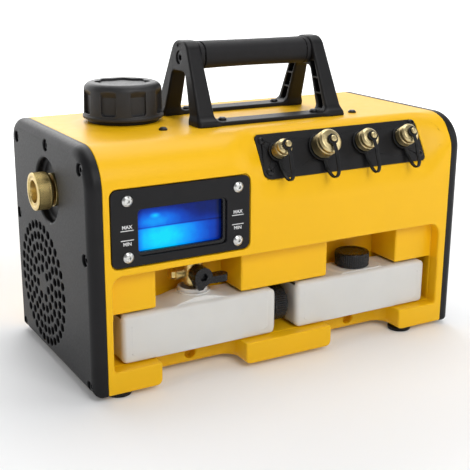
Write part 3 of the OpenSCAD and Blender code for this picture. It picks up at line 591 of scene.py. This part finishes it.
def f_housing(x, y, z):
    out = rint(section(y, z), np.abs(x) - 190, 0.7)
    ly, lz = port_ly(y, z), port_lz(y, z)
    cut = ly - 0.6 + 0.54 * srelu(-31.5 - x, 5.0) + 0.60 * srelu(x - 161.5, 5.0) - 0.3
    out = rint(out, -cut, 9.0)
    out = np.maximum(out, -np.maximum(rect(x, lz, -30, 159.5, -0.4, 44.4, (8.0, 6.0, 6.0, 5.0)), ly - 2.2))
    out = rsub(out, np.maximum(rect(x, z, -184, -46.5, 117, 188, 7.0), y - 3), 0.9)
    out = np.maximum(out, -np.maximum(rect(x, z, -161, -68, 123, 171, 4.0), y - 9))
    void = np.maximum(rect(x, z, -183, 181, 23, 110.3, (2.0, 2.0, 12.0, 10.0)), y - 12)
    void = runi(void, np.maximum(rect(x, z, -183, 181, 23, 71.5, 2.0), y - 52), 1.8)
    for a, b, c in ((-137, -49, -93.5), (48.6, 134, 91.5)):
        void = runi(void, np.maximum(rect(x, z, a, b, 50, 110, 4.0), y - 52), 1.8)
        n = runi(rect(x, y, a, b, -40, 31, (0.5, 0.5, 12.0, 4.0)), z, 7.0)
        void = runi(void, np.maximum(n, z - 25), 1.8)
        out = np.maximum(out, -np.maximum(circ(x, z, c, 11, 5.5), y - 40))
    out = rsub(out, void, 2.0)
    out = np.maximum(out, -np.maximum(rect(x, y, -102, -64, 5, 23.5, 2.0), rect(z, z * 0, 105, 125.5, -9, 9)))
    # seat of the oil cap
    rho = np.sqrt((x + 119) ** 2 + (y - 118) ** 2)
    seat = rint(z - 224, (rho - 38) * 0.316 + (z - 224) * 0.949, 0.8)
    seat = np.maximum(seat, 218 - z)
    out = runi(out, seat, 2.5)
    out = rsub(out, rho - 28.5, 0.5)
    # inside
    c2 = rect(y, z, 4, 60, 114, 218, (2.0, 2.0, 2.0, 32.0))
    c2 = np.maximum(c2, -rect(x, z, -188, -43, 100, 192) * 1.0 * (y < 7) - 1e3 * (y >= 7))
    c2 = np.maximum(c2, 4.6 - cut)
    c2 = np.maximum(c2, -np.maximum(rect(x, y, -105, -61, -5, 26), z - 128))
    out = np.maximum(out, -np.minimum(rect(y, z, 56, 202, 4, 218, (2.0, 2.0, 18.0, 2.0)), c2))
    # screw holes in the top and the drain hole
    for px, py in ((-103.5, 63), (109.5, 63), (-40, 66), (64, 66), (-40, 141), (64, 141)):
        out = np.maximum(out, -np.maximum(circ(x, y, px, py, 2.1), 208 - z))
    out = np.maximum(out, -np.maximum(circ(x, y, -91, 32, 5.5), np.abs(z - 111) - 6))
    return out


VN = (7, 14, 20, 27, 33)
VENT = [(129 + (4.3 + 10.7 * (k + 1)) * math.cos(math.radians(90 + (k % 2) * 6 + j * 360 / VN[k])),
         70 + (4.3 + 10.7 * (k + 1)) * math.sin(math.radians(90 + (k % 2) * 6 + j * 360 / VN[k]))) for k in range(5) for j in range(VN[k])]
WELLS = [(18.5, 204), (103, 210), (187.5, 204), (13, 126), (193, 126), (13, 8), (193, 8)]


def f_panel(u, y, z, left):
    """u is 0 at the sleeve and 13 at the outer face."""
    sec = section(y, z)
    out = rint(sec, u - 13, 9.0)
    out = rint(out, -u, 0.6)
    wells = circ(y, z, WELLS[0][0], WELLS[0][1], 0)
    for w in WELLS[1:]:
        wells = np.minimum(wells, circ(y, z, w[0], w[1], 0))
    inner = rint(rect(y, z, 4, 202, 4, 218, (2.0, 2.0, 18.0, 32.0)), u - 9.5, 6.0)
    inner = np.maximum(inner, 9 - wells)
    if left:
        inner = np.maximum(inner, -(circ(y, z, 104, 168, 33.5)))
    out = np.maximum(out, -inner)
    out = rsub(out, np.maximum(wells - 5.5, 7 - u), 0.7)
    out = np.maximum(out, -(wells - 2.4))
    ven = circ(y, z, VENT[0][0], VENT[0][1], 4.0)
    for p in VENT[1:]:
        ven = np.minimum(ven, circ(y, z, p[0], p[1], 4.0))
    out = rsub(out, np.maximum(ven, 8.0 - u), 0.8)
    if left:
        out = rsub(out, rint(circ(y, z, 104, 168, 30), 5 - u, 3.0), 2.2)
        out = rsub(out, circ(y, z, 104, 168, 13), 0.5)
    else:
        out = np.maximum(out, -rect(y, z, 117, 143, 158, 182, 1.0))
        out = np.maximum(out, -rect(y, z, 62, 84, 156, 184, 1.0))
    return out


H = 1.25
ax_x = axis(-192, 192, 3.2, ((-192, -181, 1.2), (-175, -35, 1.5), (-70, -20, 1.3), (40, 60, 1.3), (125, 192, 1.3)))
ax_y = axis(-2, 208, 2.6, ((-2, 60, 1.1), (178, 208, 1.6)))
ax_z = axis(-2, 227, 2.6, ((-2, 30, 1.2), (60, 80, 1.2), (105, 130, 1.2), (165, 227, 1.3)))
field("shell", f_housing, ax_x, ax_y, ax_z, M_YEL, "root", keep=0.35, rep=("housing",))
pu = axis(-1.2, 15, 0.9)
py_, pz_ = axis(-2, 208, 1.05), axis(-2, 224, 1.05)
field("panel_left", lambda x, y, z: f_panel(-190 - x, y, z, True), -190 - pu[::-1], py_, pz_, M_BLK, "root", keep=0.5, rep=("end_panel_left",))
field("panel_right", lambda x, y, z: f_panel(x - 190, y, z, False), 190 + pu, py_, pz_, M_BLK, "root", keep=0.5, rep=("end_panel_right",))


# ------------------------------------------------------------------ oil cap and its window
def f_cap(x, y, z):
    dx, dy = x + 119, y - 118
    rho = np.sqrt(dx * dx + dy * dy)
    th = np.arctan2(dy, dx)
    st = math.pi / 4
    a = th - np.round(th / st) * st
    w, q = rho * np.sin(a), rho * np.cos(a)
    body = rint(rho - 37.3 + (z - 231) * 0.03, z - 261, 6.5)
    body = np.maximum(body, 229 - z)
    fl = rint(rho - 38.3, np.abs(z - 229.4) - 1.6, 0.9)
    out = runi(body, fl, 0.8)
    pocket = np.maximum(rect(w, z, -7.4, 7.4, 233.0, 258.6, 3.0), 33.4 - q + np.maximum(0, z - 250) * 0.55)
    out = rsub(out, pocket, 0.8)
    top = np.maximum(rho - (24.5 - 1.6 * np.cos(8 * th)), 258.9 - z)
    out = rsub(out, top, 0.9)
    out = rsub(out, np.maximum(rho - 27.35, z - 252.5), 0.4)
    return out


field("cap_moulding", f_cap, axis(-119 - 40, -79, 0.75), axis(118 - 40, 158, 0.75), axis(226, 263, 0.75), M_OCAP, "cap", keep=0.6, rep=("oil_cap",))


def f_bezel(x, y, z):
    out = rint(rect(x, z, -183, -47.5, 118, 187, 6.0), 0.35 - y, 0.8)
    out = np.maximum(out, y - 3.0)
    hole = rect(x, z, -158, -71, 126, 168, 4.0)
    out = rsub(out, hole - 0.0, 1.2)
    for px in (-168, -60):
        for pz in (177, 127):
            out = np.maximum(out, -circ(x, z, px, pz, 2.2))
    return out


field("bezel", f_bezel, axis(-185, -45, 1.0), axis(-0.6, 4.2, 0.4), axis(116, 189, 1.0), M_BLK, "root", keep=0.5, rep=("window_bezel",))


def f_liner(x, y, z):
    out = rint(rect(x, z, -160.6, -68.4, 123.4, 170.6, 4.0), np.abs(y - 4.85) - 2.05, 0.3)
    return rsub(out, rect(x, z, -157.0, -74.0, 129.3, 167.6, 3.0), 0.5)


field("window_liner", f_liner, axis(-162, -67, 0.9), axis(2.0, 7.6, 0.45), axis(122, 172, 0.9), M_BLK2, "root", keep=0.5)


# ------------------------------------------------------------------ handle
def f_frames(x, y, z):
    h = z - 222
    m = np.abs(x - 11)                       # 81 at the outside
    yy = np.abs(y - 103.0)
    # outline: outer edge from (49, 0) to (13, 76); inner opening from (28, 0) to (12.5, 47)
    sl = math.hypot(36, 76)
    outer = ((yy - 49) * 76 + h * 36) / sl
    prof = rint(outer, h - 76, 7.5)
    prof = np.maximum(prof, -h)
    si = math.hypot(15.5, 47)
    inn = ((yy - 28) * 47 + h * 15.5) / si
    inn = rint(inn, h - 47, 3.5)
    prof = rsub(prof, inn, 1.2)
    lean = 81 - h * 0.052
    slab = np.maximum(m - lean, (63 + 0.0 * h) - m)
    slabr = rint(m - lean, 63 - m, 1.2)
    fr = rint(prof, slabr, 2.2)
    # hollow legs, seen from the grip's side
    lc = ((yy - 38.5) * 61.5 + h * 25.75) / math.hypot(61.5, 25.75)
    hol = np.maximum(np.abs(lc) - 3.8, np.maximum(6 - h, h - 52))
    for rz in (21, 36):
        hol = np.maximum(hol, 1.1 - np.abs(h - rz))
    fr = rsub(fr, np.maximum(hol, m - 74.5), 0.6)
    # rails with fillets into the legs
    rail = rint(rect(yy, h, 28, 49, -1, 4, 1.0), m - 80, 1.0)
    rail = np.maximum(rail, -h)
    out = runi(fr, rail, 7.0)
    out = np.maximum(out, -h)
    # bolt well and the shallow panel on the outer face
    out = rsub(out, np.maximum(circ(y, h, 103, 60, 6.2), 71.5 - m), 0.6)
    out = np.maximum(out, -circ(y, h, 103, 60, 4.15))
    grv = np.maximum(np.abs(rect(yy, h, -9, 9, 66.5, 71, 2.0)) - 0.6, (lean - 0.7) - m)
    out = rsub(out, np.maximum(rect(yy, h, -4.5, 4.5, 69.2, 72.6, 1.6), (lean - 0.9) - m), 0.3)
    for px, py in ((-40, 66), (64, 66), (-40, 141), (64, 141)):
        out = np.maximum(out, -np.maximum(circ(x, y, px, py, 2.4), h - 8))
    return out


field("frames", f_frames, axis(-72, 94, 1.1), axis(52, 154, 0.95), axis(221, 300, 0.95), M_BLK, "root", keep=0.6, rep=("handle_frame",))


def f_grip(x, y, z):
    t = np.clip((x - 11) / 63.0, -1, 1)
    zc = 222 + 61.9 - 0.3 * t * t
    hz = 12.6 + 0.6 * t * t
    # D-like section, flatter above, with a waist under the fingers
    qy = (y - 103) / 16.8
    qz = (z - zc) / hz
    d = ((np.abs(qy) ** 2.5 + np.abs(qz) ** 2.5) ** (1 / 2.5) - 1) * 12.5
    d = rint(d, np.abs(x - 11) - 63, 1.4)
    # two fine grooves, one round each end, and a bore along the core
    d = np.maximum(d, 0.6 - np.abs(np.abs(x - 11) - 57.5) + np.minimum(0, d + 0.7))
    return np.maximum(d, -circ(y, z, 103, 282, 8.02))


field("grip", f_grip, axis(-53.5, 75.5, 1.1), axis(84, 122, 0.9), axis(268, 299, 0.9), M_GRIP, "root", keep=0.7, rep=("handle_grip",))


# ------------------------------------------------------------------ bottles
def f_bottle(c, top, boss):
    x0, x1 = c - 81.0, c + 81.0

    def f(x, y, z):
        plan = rect(x, y, x0, x1, 8.5, 48, (8.0, 9.0, 9.0, 8.0))
        side = rect(x, z, x0, x1, 23.3, 70.2, (6.0, 9.0, 11.0, 7.0))
        d = rint(plan, side, 2.0)
        d = rint(d, rect(y, z, 8.5, 48, 23.3, 70.2, (5.0, 5.0, 5.0, 7.0)), 1.5)
        # raised label field on the front, the rest stands back a little
        lab = rect(x, z, x0 + 9, x1 - 11, 30, 61, 4.0)
        d = rsub(d, np.maximum(-lab, y - 9.3), 0.6)
        # shoulder that rises to the neck
        rho = np.sqrt((x - c) ** 2 + (y - 31) ** 2)
        neck = rint(rho - 14, z - top, 0.8)
        neck = np.maximum(neck, 60 - z)
        zs = 75.0 if boss else 70.8
        sh = (rho - 31) * 0.33 + (z - 69.6) * 0.944          # low cone that rises to the neck
        sh = np.maximum(np.maximum(sh, z - zs), np.maximum(60 - z, rect(x, y, x0 + 4, x1 - 4, 13, 46, 6.0)))
        d = runi(d, sh, 1.5 if boss else 0.3)
        d = runi(d, neck, 1.6 if boss else 0.3)
        if boss:
            ring = rint(rho - 16.0, np.abs(z - 75.4) - 0.8, 0.4)
            d = np.minimum(d, ring)
        if boss:
            b = rint(circ(y, z, 30, 47, 13.6), np.abs(x - (x1 + 4)) - 5, 0.6)
            d = runi(d, b, 0.3)
        # hollow
        ins = rint(rect(x, y, x0 + 1.6, x1 - 1.6, 10.9, 46.4, 7.0), rect(y, z, 10.9, 46.4, 24.9, 68.6, 4.0), 2.0)
        ins = np.minimum(ins, np.maximum(rho - 12.2, 60 - z))
        return np.maximum(d, -ins)

    return f


for nm, c, top, boss, bd in (("bottle_left", -91.0, 80.0, True, "left_bottle"), ("bottle_right", 93.0, 83.0, False, "right_bottle")):
    field(nm + "_moulding", f_bottle(c, top, boss), axis(c - 83, c + (91 if boss else 83), 1.0), axis(7, 50, 0.9), axis(22, top + 1.5, 0.9),
          M_BOTTLE, bd, keep=0.5, rep=(nm,))


def ribbed(nr, depth, h0, h1):
    def mod(a, r, h, i):
        if h0 < h < h1 and r > 15:
            return r - depth * (0.5 + 0.5 * math.cos(a * nr)) ** 1.5
        return r
    return mod


CAPP = round_profile([(0, 11.4, 0), (14.3, 11.4, 0.3), (14.3, 0, 0.4), (17.6, 0, 0.5), (17.6, 1.0, 0.1), (17.6, 12.0, 0.1), (17.6, 14.0, 1.4), (13.5, 14.0, 0.4), (12.6, 13.3, 0.4), (0, 13.3, 0)], 0.3)
CAPP = [p for p in CAPP]


def dense(prof, lo, hi, step):
    """Adds points along the straight runs so that a radius change can follow them."""
    out = []
    n = len(prof)
    for i in range(n):
        a, b = prof[i], prof[(i + 1) % n]
        out.append(a)
        if i == n - 1:
            break
        if abs(a[0] - b[0]) < 0.05 and abs(a[1] - b[1]) > 2 * step and a[0] > 15:
            m = int(abs(a[1] - b[1]) / step)
            out += [(a[0] + (b[0] - a[0]) * k / m, a[1] + (b[1] - a[1]) * k / m) for k in range(1, m)]
    return out


CAPP = dense(CAPP, 0, 14, 1.0)
lathe("cap_on_bottle", CAPP, 288, M_BLK2, "right_bottle_cap", lambda v: W(93 + v.x, 31 + v.y, 71.6 + v.z), rep=("bottle_cap_right",), mod=ribbed(48, 0.6, 0.8, 12.4))
lathe("cap_stored", CAPP, 288, M_BLK2, "left_bottle_cap", lambda v: W(-9.4 + v.z, 30 + v.x, 47 + v.y), rep=("bottle_cap_left",), mod=ribbed(48, 0.6, 0.8, 12.4))

# ------------------------------------------------------------------ exhaust collar: knurled brass
KN = 60


def knurl(nr, depth, h0, h1, rmin, pitch):
    def mod(a, r, h, i):
        if h0 < h < h1 and r > rmin:
            u = (a * nr / (2 * math.pi) + (h - h0) / pitch) % 1.0
            v = (a * nr / (2 * math.pi) - (h - h0) / pitch) % 1.0
            du, dv = abs(u - 0.5) * 2, abs(v - 0.5) * 2
            return r - depth * max(0.0, max(du, dv) - 0.55) / 0.45
        return r
    return mod


colp = round_profile([(10.6, 13, 0.6), (10.6, 0.8, 0.2), (10.05, 0.8, 0.1), (10.05, -1.5, 0.3), (16.6, -1.5, 0.4), (16.6, 0.3, 0.2), (17.5, 0.3, 0.4), (17.5, 13, 0.9), (14.2, 13, 0.3), (13.4, 12.2, 0.3), (12.2, 12.2, 0.3)], 0.3)
colp = dense(colp, 0, 13, 0.5)
lathe("collar", colp, 360, M_BRASS, "exhaust_ring", lambda v: W(-203 - v.z, 104 + v.x, 168 + v.y), rep=("exhaust_collar",), mod=knurl(60, 0.55, 0.9, 12.0, 17.0, 1.9))

# ------------------------------------------------------------------ port caps and tethers
TR = (5.6, 9.5, 7.9, 7.9)
PR = (7.6, 12.0, 10.0, 10.0)
PL = (17.0, 18.7, 15.0, 15.0)


def port_place(i):
    px = -11 + 49 * i

    def place(v):
        # local x along the body, y up the slope, z out of the face
        y = 2.5 + 24.5 * sT + v.y * sT - v.z * cT
        z = 179.5 + 24.5 * cT + v.y * cT + v.z * sT
        return W(px + v.x, y, z)
    return place


for i in range(4):
    R, Ln, tr = PR[i], PL[i], TR[i]
    prof = [(0, Ln - 0.2, 0), (tr + 0.35, Ln - 0.2, 0.2), (tr + 0.35, 3.7, 0.2), (R - 0.5, 3.7, 0.3), (R - 0.5, 4.8, 0.1), (R, 5.3, 0.3),
            (R, Ln - 4.2, 0.3), (R - 0.7, Ln - 3.7, 0.2), (R - 0.7, Ln - 3.0, 0.2), (R - 0.1, Ln - 2.6, 0.3), (R - 0.1, Ln + 0.9, 1.3), (R - 2.2, Ln + 2.5, 1.2),
            (3.0, Ln + 3.1, 0.6), (2.2, Ln + 3.4, 0.2), (2.2, Ln + 6.4, 0.2), (3.2, Ln + 6.5, 0.3), (3.1, Ln + 7.6, 0.5), (2.0, Ln + 8.4, 0.5), (0, Ln + 8.4, 0)]
    prof = round_profile(prof, 0.3)
    dn = []
    for a, b in zip(prof, prof[1:]):
        dn.append(a)
        if abs(a[0] - b[0]) < 0.05 and a[0] > R - 0.3 and abs(a[1] - b[1]) > 1.2:
            m = int(abs(a[1] - b[1]) / 0.5)
            dn += [(a[0], a[1] + (b[1] - a[1]) * k / m) for k in range(1, m)]
    dn.append(prof[-1])
    lathe(f"cap_port_{i+1}", dn, 240, M_CAPB, f"port_cap_{i+1}_body", port_place(i), rep=(f"port_cap_{i+1}",),
          mod=knurl(int(R * 4.2), 0.42, 5.4, Ln - 4.3, R - 0.3, 1.7), closed=False)


def sweep(name, path, half_w, half_t, mat, place, seg=6):
    """A flat strap in the local x = 0 plane following path [(y, z), ...], with rounded edges."""
    sec = []
    for k in range(4 * seg):
        a = 2 * math.pi * k / (4 * seg)
        ca, sa = math.cos(a), math.sin(a)
        sec.append((half_w * math.copysign(abs(ca) ** 0.35, ca), half_t * math.copysign(abs(sa) ** 0.5, sa)))
    verts, faces = [], []
    n = len(sec)
    for i, p in enumerate(path):
        a = Vector(path[max(0, i - 1)]); b = Vector(path[min(len(path) - 1, i + 1)])
        t = (b - a).normalized()
        nn = Vector((-t.y, t.x))
        for u, w in sec:
            verts.append(place(Vector((u, p[0] + nn.x * w, p[1] + nn.y * w))))
    for i in range(len(path) - 1):
        for k in range(n):
            k2 = (k + 1) % n
            faces.append((i * n + k, i * n + k2, (i + 1) * n + k2, (i + 1) * n + k))
    faces.append(tuple(range(n))[::-1])
    faces.append(tuple((len(path) - 1) * n + k for k in range(n)))
    return make_mesh(name, verts, faces, mat)


def smooth_path(pts, m=10):
    """Catmull-Rom through pts."""
    P_ = [Vector(pts[0])] + [Vector(p) for p in pts] + [Vector(pts[-1])]
    out = []
    for i in range(1, len(P_) - 2):
        p0, p1, p2, p3 = P_[i - 1], P_[i], P_[i + 1], P_[i + 2]
        for k in range(m):
            t = k / m
            out.append(0.5 * (2 * p1 + (p2 - p0) * t + (2 * p0 - 5 * p1 + 4 * p2 - p3) * t * t + (3 * p1 - p0 - 3 * p2 + p3) * t ** 3))
    out.append(P_[-2])
    return [tuple(p) for p in out]


def join(name, objs):
    bm = bmesh.new()
    for o in objs:
        bm.from_mesh(o.data)
    me = bpy.data.meshes.new(name)
    bmesh.ops.recalc_face_normals(bm, faces=bm.faces)
    bm.to_mesh(me)
    bm.free()
    me.materials.append(objs[0].data.materials[0])
    me.polygons.foreach_set("use_smooth", [True] * len(me.polygons))
    for o in objs:
        bpy.data.objects.remove(o)
    o = bpy.data.objects.new(name, me)
    bpy.context.collection.objects.link(o)
    return o


for i in range(4):
    R = PR[i] + 1.6
    k = PL[i] + 4.5
    pl = port_place(i)
    rg = round_profile([(TR[i] + 0.3, 1.5, 0.3), (R, 1.5, 0.6), (R, 3.2, 0.6), (TR[i] + 0.3, 3.2, 0.3)], 0.4)
    ey = round_profile([(2.45, k - 0.1, 0.3), (5.2, k - 0.1, 0.6), (5.2, k + 1.6, 0.6), (2.45, k + 1.6, 0.3)], 0.4)
    parts = []
    for tag, pr in (("a", rg), ("b", ey)):
        vs, fs = [], []
        n = 64
        for (r, h) in pr:
            for q in range(n):
                a = 2 * math.pi * q / n
                vs.append(pl(Vector((r * math.cos(a), r * math.sin(a), h))))
        for s in range(len(pr)):
            s2 = (s + 1) % len(pr)
            for q in range(n):
                fs.append((s * n + q, s * n + (q + 1) % n, s2 * n + (q + 1) % n, s2 * n + q))
        parts.append(make_mesh("t" + tag, vs, fs, M_RUB))
    zc = (k + 2.35) / 2
    dr = (3.5, 1.0, 4.5, 4.5)[i]
    path = smooth_path([(-R + 1.5, 2.35), (-R - 4, 2.3), (-R - 9.5, 3.0), (-R - 9 - zc * 0.62 - dr * 0.7, zc * 0.55 + 0.6), (-R - 9.5 - zc * 0.75 - dr, zc + 0.6),
                        (-R - 8 - zc * 0.62 - dr * 0.8, zc * 1.5), (-R - 5.5, k - 0.4), (-R - 1, k + 0.7), (-4.4, k + 0.75)], 9)
    parts.append(sweep("ts", path, 1.9, 0.75, M_RUB, pl))
    t = join(f"tether_{i+1}", parts)
    j = next(j for j in frame["joints"] if j["name"] == f"port_cap_{i+1}_pull")
    tuple(pl(Vector((0, -R, 4.0))))
    tuple(pl(Vector((0, -R, k - 0.6))))
    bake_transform(t)
    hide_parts(f"port_tether_{i+1}")

# ------------------------------------------------------------------ printed marks beside the window
def text(name, s, size, x, z, y=0.30, mat=M_MARK):
    c = bpy.data.curves.new(name, "FONT")
    c.body = s
    c.size = size / 1000
    c.align_x = "CENTER"
    c.extrude = 0.00003
    c.offset = 0.00010
    o = bpy.data.objects.new(name, c)
    bpy.context.collection.objects.link(o)
    o.location = W(x, y, z)
    o.rotation_euler = (math.pi / 2, 0, 0)
    c.materials.append(mat)
    bpy.context.view_layer.update()
    dg = bpy.context.evaluated_depsgraph_get()
    me = bpy.data.meshes.new_from_object(o.evaluated_get(dg))
    me.transform(o.matrix_world)
    bpy.data.objects.remove(o)
    o = bpy.data.objects.new(name, me)
    bpy.context.collection.objects.link(o)
    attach(o, "root")
    return o


def bar(name, x0, x1, z0, z1, y0=0.26, y1=0.40, mat=M_MARK):
    v = [W(a, b, c) for a in (x0, x1) for b in (y0, y1) for c in (z0, z1)]
    f = [(0, 1, 3, 2), (4, 6, 7, 5), (0, 4, 5, 1), (2, 3, 7, 6), (0, 2, 6, 4), (1, 5, 7, 3)]
    o = make_mesh(name, v, f, mat, smooth=False)
    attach(o, "root")
    return o


for nm, x in (("l", -168.5), ("r", -60.0)):
    text(f"max_{nm}", "MAX", 4.4, x, 152.6)
    text(f"min_{nm}", "MIN", 4.4, x, 137.6)
    bar(f"maxline_{nm}", x - 6, x + 6, 150.6, 151.3)
    bar(f"minline_{nm}", x - 6, x + 6, 142.0, 142.7)

# ------------------------------------------------------------------ CAD nodes that stay, with softened edges
soften(["port_plate", "valve_body", "valve_lever", "power_inlet", "power_switch", "switch_rocker", "cap_gasket", "exhaust_fitting"], 0.5)
soften(["bezel_screws", "top_screws", "port_plate_screws", "end_panel_screws", "handle_bolts", "foot_screws"], 0.25)
soften(["rubber_feet"], 0.8)

# ------------------------------------------------------------------ floor
bd = make_mesh("backdrop", [(-9, 5.5, -1), (12, 5.5, -1), (12, 5.5, 6), (-9, 5.5, 6)], [(0, 1, 2, 3)], None, smooth=False)
M_BACK = material("backdrop_white", (0.9, 0.9, 0.9), rough=0.9, var=0.005, var_scale=2, spec=0.0, emis=((1, 1, 1, 1), 1.3))
bd.data.materials.append(M_BACK)
fl = make_mesh("floor", [(-6, -6, 0), (6, -6, 0), (6, 6, 0), (-6, 6, 0)], [(0, 1, 2, 3)], None, smooth=False)
def far_light(nt, vec, col, p):
    """Grows lighter away from the pump, like a seamless white table that is lit from below."""
    ln = nt.nodes.new("ShaderNodeVectorMath")
    ln.operation = "LENGTH"
    nt.links.new(vec, ln.inputs[0])
    r = nt.nodes.new("ShaderNodeMapRange")
    r.interpolation_type = "SMOOTHSTEP"
    r.inputs["From Min"].default_value = 0.25
    r.inputs["From Max"].default_value = 1.6
    r.inputs["To Min"].default_value = 0.05
    r.inputs["To Max"].default_value = 0.75
    nt.links.new(ln.outputs["Value"], r.inputs["Value"])
    nt.links.new(r.outputs["Result"], p.inputs["Emission Strength"])
    p.inputs["Emission Color"].default_value = (1, 1, 1, 1)
    return col


M_FLOOR = material("pale_floor", (0.86, 0.86, 0.86), rough=0.75, var=0.01, var_scale=3, spec=0.2, extra=far_light)
fl.data.materials.append(M_FLOOR)
